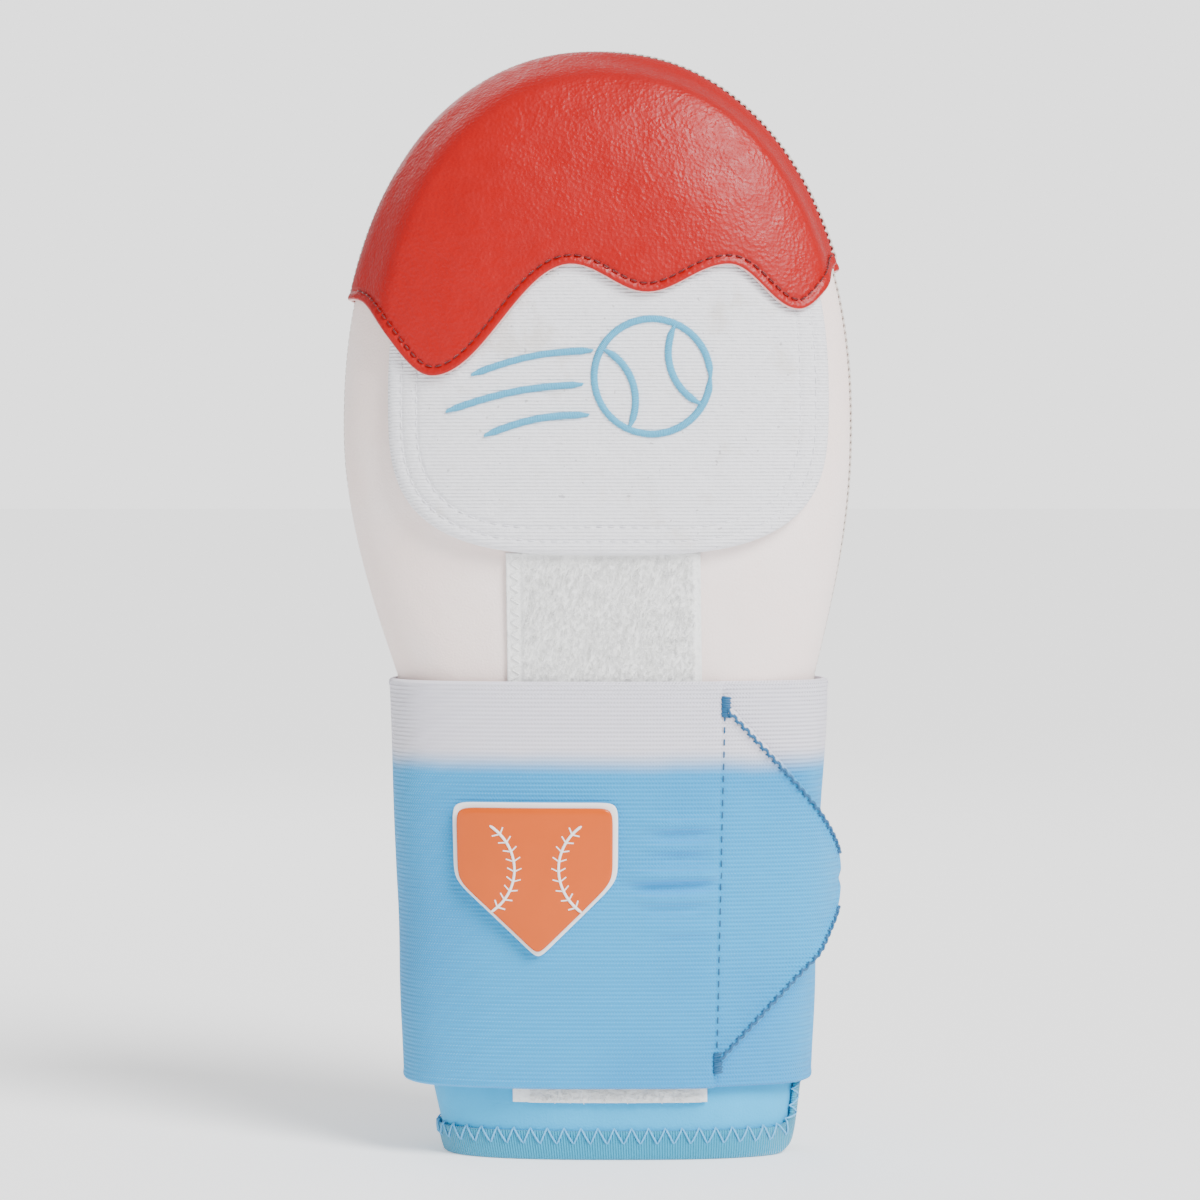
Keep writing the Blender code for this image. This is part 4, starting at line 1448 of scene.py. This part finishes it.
def build_strap_rows():
    """The row across the strap at the tab's seam, the cords along the tab's edges, and bartacks."""
    sizes = mitt_sizes()
    points, outs = [], []
    for i in range(81):
        height = mix(STRAP_TOP - TAB_SHOULDER - 0.0008, STRAP_HEM_HEIGHT + TAB_SHOULDER + 0.0008, i / 80)
        point, out = strap_surface(0.0004, height, 0.0)
        points.append(point)
        outs.append(out)
    strands = row(points, outs, 0.0031, 0.0019, 0.0004, 0.00022)
    look = material("blue_thread", thread_look, "blue_thread", mitt_colours().blue_thread)
    mesh_object("strap_row", thread_mesh(strands, sizes.row_thread / 2), look)
    cords = []
    for upper in (True, False):
        points, outs = tab_edge(upper)
        places = walk(points, 0.0012)
        for number, ((here, along), (there, _)) in enumerate(zip(places, places[2:])):
            out = outs[min(len(outs) - 1, int(number / len(places) * len(outs)))]
            across = along.cross(out).normalized() * (0.00055 if number % 2 else -0.00055)
            cords.append(stitch(here + across, there - across, out, 0.0003, 0.00045))
        shoulder = STRAP_TOP - TAB_SHOULDER - 0.001
        if not upper:
            shoulder = STRAP_HEM_HEIGHT + TAB_SHOULDER + 0.001
        corner, out = strap_surface(0.0006, shoulder)
        down = Vector((0, 0, -1 if upper else 1))
        side = Vector((1, 0, 0))
        for i in range(9):
            start = corner + down * (0.0006 * i - 0.0016) - side * (0.0012 + 0.0002 * (i % 2))
            cords.append(stitch(start, start + side * 0.0026 + down * 0.0004, out, 0.0003, 0.0006))
    mesh_object("tab_cords", thread_mesh(cords, sizes.tab_thread / 2), look)


EMBROIDERY_X = 0.0135
EMBROIDERY_HEIGHT = 0.2005
BALL_RADIUS = 0.0145
STREAKS = ((0.0095, -0.0150, 0.030), (0.0015, -0.0175, 0.034), (-0.0065, -0.0160, 0.026))


def embroidery_lines():
    """A plain ball with its seams and three streaks behind it, as lines of (x, height) on the pad."""
    middle = Vector((EMBROIDERY_X, EMBROIDERY_HEIGHT))
    turns = [2 * math.pi * i / 72 for i in range(73)]
    lines = [[middle + Vector((math.cos(turn), math.sin(turn))) * BALL_RADIUS for turn in turns]]
    for side in (-1, 1):
        arc = [mix(-0.86, 0.86, i / 24) for i in range(25)]
        centre = middle + Vector((side * BALL_RADIUS * 1.28, side * BALL_RADIUS * 0.42))
        lean = math.atan2(side * 0.42, side * 1.28) + math.pi
        turned = [turn + lean for turn in arc]
        bow = [centre + Vector((math.cos(turn), math.sin(turn))) * BALL_RADIUS for turn in turned]
        lines.append([point for point in bow if (point - middle).length < BALL_RADIUS * 0.98])
    for rise, start, length in STREAKS:
        line = []
        for i in range(25):
            along = start - length * i / 24
            arch = 0.0016 * math.sin(i / 24 * math.pi)
            line.append(middle + Vector((along, rise + 0.20 * along + arch)))
        lines.append(line)
    return lines


def build_embroidery():
    """Satin stitches, close together across each line of the ball and its streaks."""
    strands = []
    for line in embroidery_lines():
        flat = [Vector((point.x, 0, point.y)) for point in line]
        places = walk(flat, 0.00042)
        for number, (here, along) in enumerate(places):
            taper = min(1.0, 0.35 + min(number, len(places) - 1 - number) / 9)
            across = Vector((-along.z, 0, along.x)) * 0.00095 * taper + along * 0.00025
            ends = []
            for place in (here + across, here - across):
                offset = LAYER_GAP + PAD_THICKNESS
                ends.append(front_point(place.x, place.z, offset))
            strands.append(stitch(ends[0], ends[1], Vector((0, -1, 0)), 0.0003, 0.00045))
    look = material("embroidery_thread", thread_look, "embroidery_thread", mitt_colours().embroidery)
    mesh_object("pad_embroidery", thread_mesh(strands, 0.00024), look)


class MITT_OT_embroidery(bpy.types.Operator):
    """Embroider a plain ball with streaks on the knuckle pad"""

    bl_idname = "mitt.embroidery"
    bl_label = "Embroidery"

    def execute(self, context):
        build_embroidery()
        return {"FINISHED"}


class MITT_OT_rows(bpy.types.Operator):
    """Sew the rows on the leather, the pad, the tape and the strap"""

    bl_idname = "mitt.rows"
    bl_label = "Stitch Rows"

    def execute(self, context):
        build_leather_row()
        build_pad_rows()
        build_tape_rows()
        build_strap_rows()
        return {"FINISHED"}


# Badge
# Direction and reach of the home plate's five sides
PLATE_FACES = (
    (math.pi / 2, 1),
    (0, 1),
    (math.pi, 1),
    (-math.pi / 4, 0.5**0.5),
    (-3 * math.pi / 4, 0.5**0.5),
)


def plate_reach(turn, half):
    """Distance from the badge's middle to its rounded home-plate outline."""
    total = 0.0
    for facing, reach in PLATE_FACES:
        total += (max(0.0, math.cos(turn - facing)) / (half * reach)) ** BADGE_CORNER_POWER
    return total ** (-1 / BADGE_CORNER_POWER)


def badge_point(x, up, offset):
    angle = 2 * math.pi + strap_angle_at(BADGE_X + x)
    return strap_point(angle, BADGE_HEIGHT + up, STRAP_THICKNESS + offset)


def badge_rings(thickness, bevel, dome):
    """Rings as (inset from the outline, share of what is left, height)."""
    rings = [Ring(bevel, i / 3, 0.0) for i in range(4)]
    rings += [Ring(0.0, 1.0, 0.0), Ring(0.0, 1.0, thickness - bevel)]
    for i in range(1, 6):
        turn = i / 5 * math.pi / 2
        rings.append(Ring(bevel * (1 - math.cos(turn)), 1.0, thickness - bevel * (1 - math.sin(turn))))
    rings += [Ring(bevel, 1 - i / 16, thickness + dome * (1 - (1 - i / 16) ** 2)) for i in range(1, 17)]
    return rings


def build_badge_piece(name, node, rings, half, base, look):
    def place(turn, ring):
        reach = (plate_reach(turn, half) - ring.inset) * ring.field
        point = badge_point(reach * math.cos(turn), reach * math.sin(turn), base + ring.up)
        return point, (reach, turn, ring.inset)

    mesh_object(name, patch(rings, 240, place), look, node)


ARC_RADIUS = 0.0135
ARC_MIDDLE = 0.0188
ARC_RAISE = 0.0032


def seam_arc(side):
    """One curved seam of the ball motif on the badge's face, as (x, up) places."""
    places = []
    for i in range(41):
        turn = mix(-0.95, 0.95, i / 40)
        x = side * (ARC_MIDDLE - ARC_RADIUS * math.cos(turn))
        places.append((x, ARC_RADIUS * math.sin(turn) + ARC_RAISE))
    return places


def build_badge():
    colours = mitt_colours()
    half = BADGE_WIDTH / 2
    white = material("satin_rubber", rubber_look, "satin_rubber", colours.badge_rim, 0.35, 0.2)
    orange = material("glossy_rubber", rubber_look, "glossy_rubber", colours.badge, 0.25, 0.3)
    backing = badge_rings(BADGE_BACKING, 0.0004, 0.0)
    build_badge_piece("badge_base", "badge_backing", backing, half, LAYER_GAP, white)
    base = LAYER_GAP + BADGE_BACKING + SEAM_GAP
    face = badge_rings(BADGE_FACE, 0.0006, 0.0002)
    build_badge_piece("badge_dome", "badge_face", face, half - BADGE_RIM, base, orange)
    strands = []
    proud = base + BADGE_FACE + 0.0001
    for side in (-1, 1):
        line = seam_arc(side)
        strands.append([badge_point(x, up, proud) for x, up in line])
        for (x, up), (ahead_x, ahead_up) in zip(line[3:-3:4], line[4:-2:4]):
            along = Vector((ahead_x - x, ahead_up - up)).normalized()
            across = Vector((-along.y, along.x)) * 0.0017
            for end in (across, -across):
                tip = Vector((x, up)) + end + along * 0.0009
                strands.append([badge_point(x, up, proud), badge_point(tip.x, tip.y, proud - 0.00005)])
    mesh_object("badge_seams", thread_mesh(strands, 0.00036, 2), white)


class MITT_OT_badge(bpy.types.Operator):
    """Make the moulded home-plate badge on the strap"""

    bl_idname = "mitt.badge"
    bl_label = "Badge"

    def execute(self, context):
        build_badge()
        return {"FINISHED"}


# Stage
CAMERA_DISTANCE = 1.15
FRAME_HEIGHT = 0.312
CAMERA_RISE = 1.5
AIM_X = 0.0005
AIM_HEIGHT = 0.1432


def area_light(name, place, aim, size, power, colour):
    light = bpy.data.lights.new(name, "AREA")
    light.shape = "DISK"
    light.size = size
    light.energy = power
    light.color = colour
    holder = bpy.data.objects.new(name, light)
    holder.location = place
    holder.rotation_euler = (Vector(aim) - Vector(place)).to_track_quat("-Z", "Y").to_euler()
    bpy.context.scene.collection.objects.link(holder)


BROAD_POWER = 4.6
BROAD_FROM = (0.62, -0.78, 0.9)
ROOM_LIGHT = 0.66
ROOM_WHITE = 2.15
FLOOR_GLOW = 0.45


def broad_light():
    """An even, soft light from the upper right, the same all over the floor."""
    light = bpy.data.lights.new("broad", "SUN")
    light.energy = BROAD_POWER
    light.angle = math.radians(24)
    holder = bpy.data.objects.new("broad", light)
    holder.rotation_euler = (-Vector(BROAD_FROM)).to_track_quat("-Z", "Y").to_euler()
    bpy.context.scene.collection.objects.link(holder)


def white_room():
    """An even white surround, a little brighter to look at than it shines."""
    world = bpy.data.worlds.new("studio")
    world.use_nodes = True
    nodes, links = world.node_tree.nodes, world.node_tree.links
    shine = nodes["Background"]
    shine.inputs["Color"].default_value = (1.0, 1.0, 1.0, 1)
    shine.inputs["Strength"].default_value = ROOM_LIGHT
    seen = nodes.new("ShaderNodeBackground")
    seen.inputs["Color"].default_value = (1.0, 1.0, 1.0, 1)
    seen.inputs["Strength"].default_value = ROOM_WHITE
    either = nodes.new("ShaderNodeMixShader")
    ray = nodes.new("ShaderNodeLightPath")
    links.new(ray.outputs["Is Camera Ray"], either.inputs["Fac"])
    links.new(shine.outputs["Background"], either.inputs[1])
    links.new(seen.outputs["Background"], either.inputs[2])
    links.new(either.outputs["Shader"], nodes["World Output"].inputs["Surface"])
    bpy.context.scene.world = world


def build_floor():
    """A pale floor that runs out to where the white room begins."""
    bm = bmesh.new()
    bmesh.ops.create_grid(bm, x_segments=1, y_segments=1, size=30.0)
    mesh = bpy.data.meshes.new("floor")
    bm.to_mesh(mesh)
    bm.free()
    floor = bpy.data.objects.new("floor", mesh)
    bpy.context.scene.collection.objects.link(floor)
    glow = {"Emission_Color": (1, 1, 1, 1), "Emission_Strength": FLOOR_GLOW}
    look = Look("floor", (0.96, 0.96, 0.96), 0.9, Specular_IOR_Level=0.1, **glow)
    look.bump(look.noise(40.0), 0.0001)
    mesh.materials.append(look.material)


def build_camera():
    low, high = (Vector(corner) for corner in CAD_BOX)
    middle = (low + high) / 2
    rise = math.radians(CAMERA_RISE)
    camera = bpy.data.cameras.new("camera")
    camera.sensor_width = 36.0
    camera.lens = camera.sensor_width * CAMERA_DISTANCE / FRAME_HEIGHT
    camera.clip_start = 0.01
    holder = bpy.data.objects.new("camera", camera)
    aim = Vector((AIM_X, middle.y, AIM_HEIGHT))
    holder.location = aim + Vector((0, -math.cos(rise), math.sin(rise))) * CAMERA_DISTANCE
    holder.rotation_euler = (aim - holder.location).to_track_quat("-Z", "Y").to_euler()
    bpy.context.scene.collection.objects.link(holder)
    bpy.context.scene.camera = holder


class MITT_OT_stage(bpy.types.Operator):
    """Make the floor, the soft lights and the camera"""

    bl_idname = "mitt.stage"
    bl_label = "Stage"

    def execute(self, context):
        build_floor()
        build_camera()
        aim = (0, 0, 0.14)
        area_light("softbox", (0.75, -1.0, 0.75), aim, 0.45, 7.0, (1.0, 0.99, 0.98))
        area_light("fill", (-1.1, -0.9, 0.4), aim, 0.9, 1.6, (0.98, 0.99, 1.0))
        area_light("back", (-0.4, 1.1, 0.9), aim, 0.8, 4.0, (1.0, 1.0, 1.0))
        broad_light()
        white_room()
        return {"FINISHED"}


OPERATORS = (
    MITT_OT_body,
    MITT_OT_caps,
    MITT_OT_pad,
    MITT_OT_tape,
    MITT_OT_strap,
    MITT_OT_binding,
    MITT_OT_side_seam,
    MITT_OT_rows,
    MITT_OT_embroidery,
    MITT_OT_badge,
    MITT_OT_stage,
)


class MITT_PT_panel(bpy.types.Panel):
    """Lists the mitt's operators and sizes"""

    bl_idname = "MITT_PT_panel"
    bl_label = "Sliding Mitt"
    bl_space_type = "VIEW_3D"
    bl_region_type = "UI"
    bl_category = "Mitt"

    def draw(self, context):
        for operator in OPERATORS:
            self.layout.operator(operator.bl_idname)
        for group in (context.scene.mitt_sizes, context.scene.mitt_colours):
            for name in group.__annotations__:
                self.layout.prop(group, name)


CLASSES = (MittColours, MittSizes, *OPERATORS, MITT_PT_panel)


def register():
    for cls in CLASSES:
        bpy.utils.register_class(cls)
    bpy.types.Scene.mitt_colours = PointerProperty(type=MittColours)
    bpy.types.Scene.mitt_sizes = PointerProperty(type=MittSizes)


def unregister():
    del bpy.types.Scene.mitt_sizes
    del bpy.types.Scene.mitt_colours
    for cls in reversed(CLASSES):
        bpy.utils.unregister_class(cls)


def main():
    register()
    bpy.ops.mitt.body()
    bpy.ops.mitt.caps()
    bpy.ops.mitt.pad()
    bpy.ops.mitt.tape()
    bpy.ops.mitt.strap()
    bpy.ops.mitt.binding()
    bpy.ops.mitt.side_seam()
    bpy.ops.mitt.rows()
    bpy.ops.mitt.embroidery()
    bpy.ops.mitt.badge()
    bpy.ops.mitt.stage()


if __name__ == "__main__":
    main()
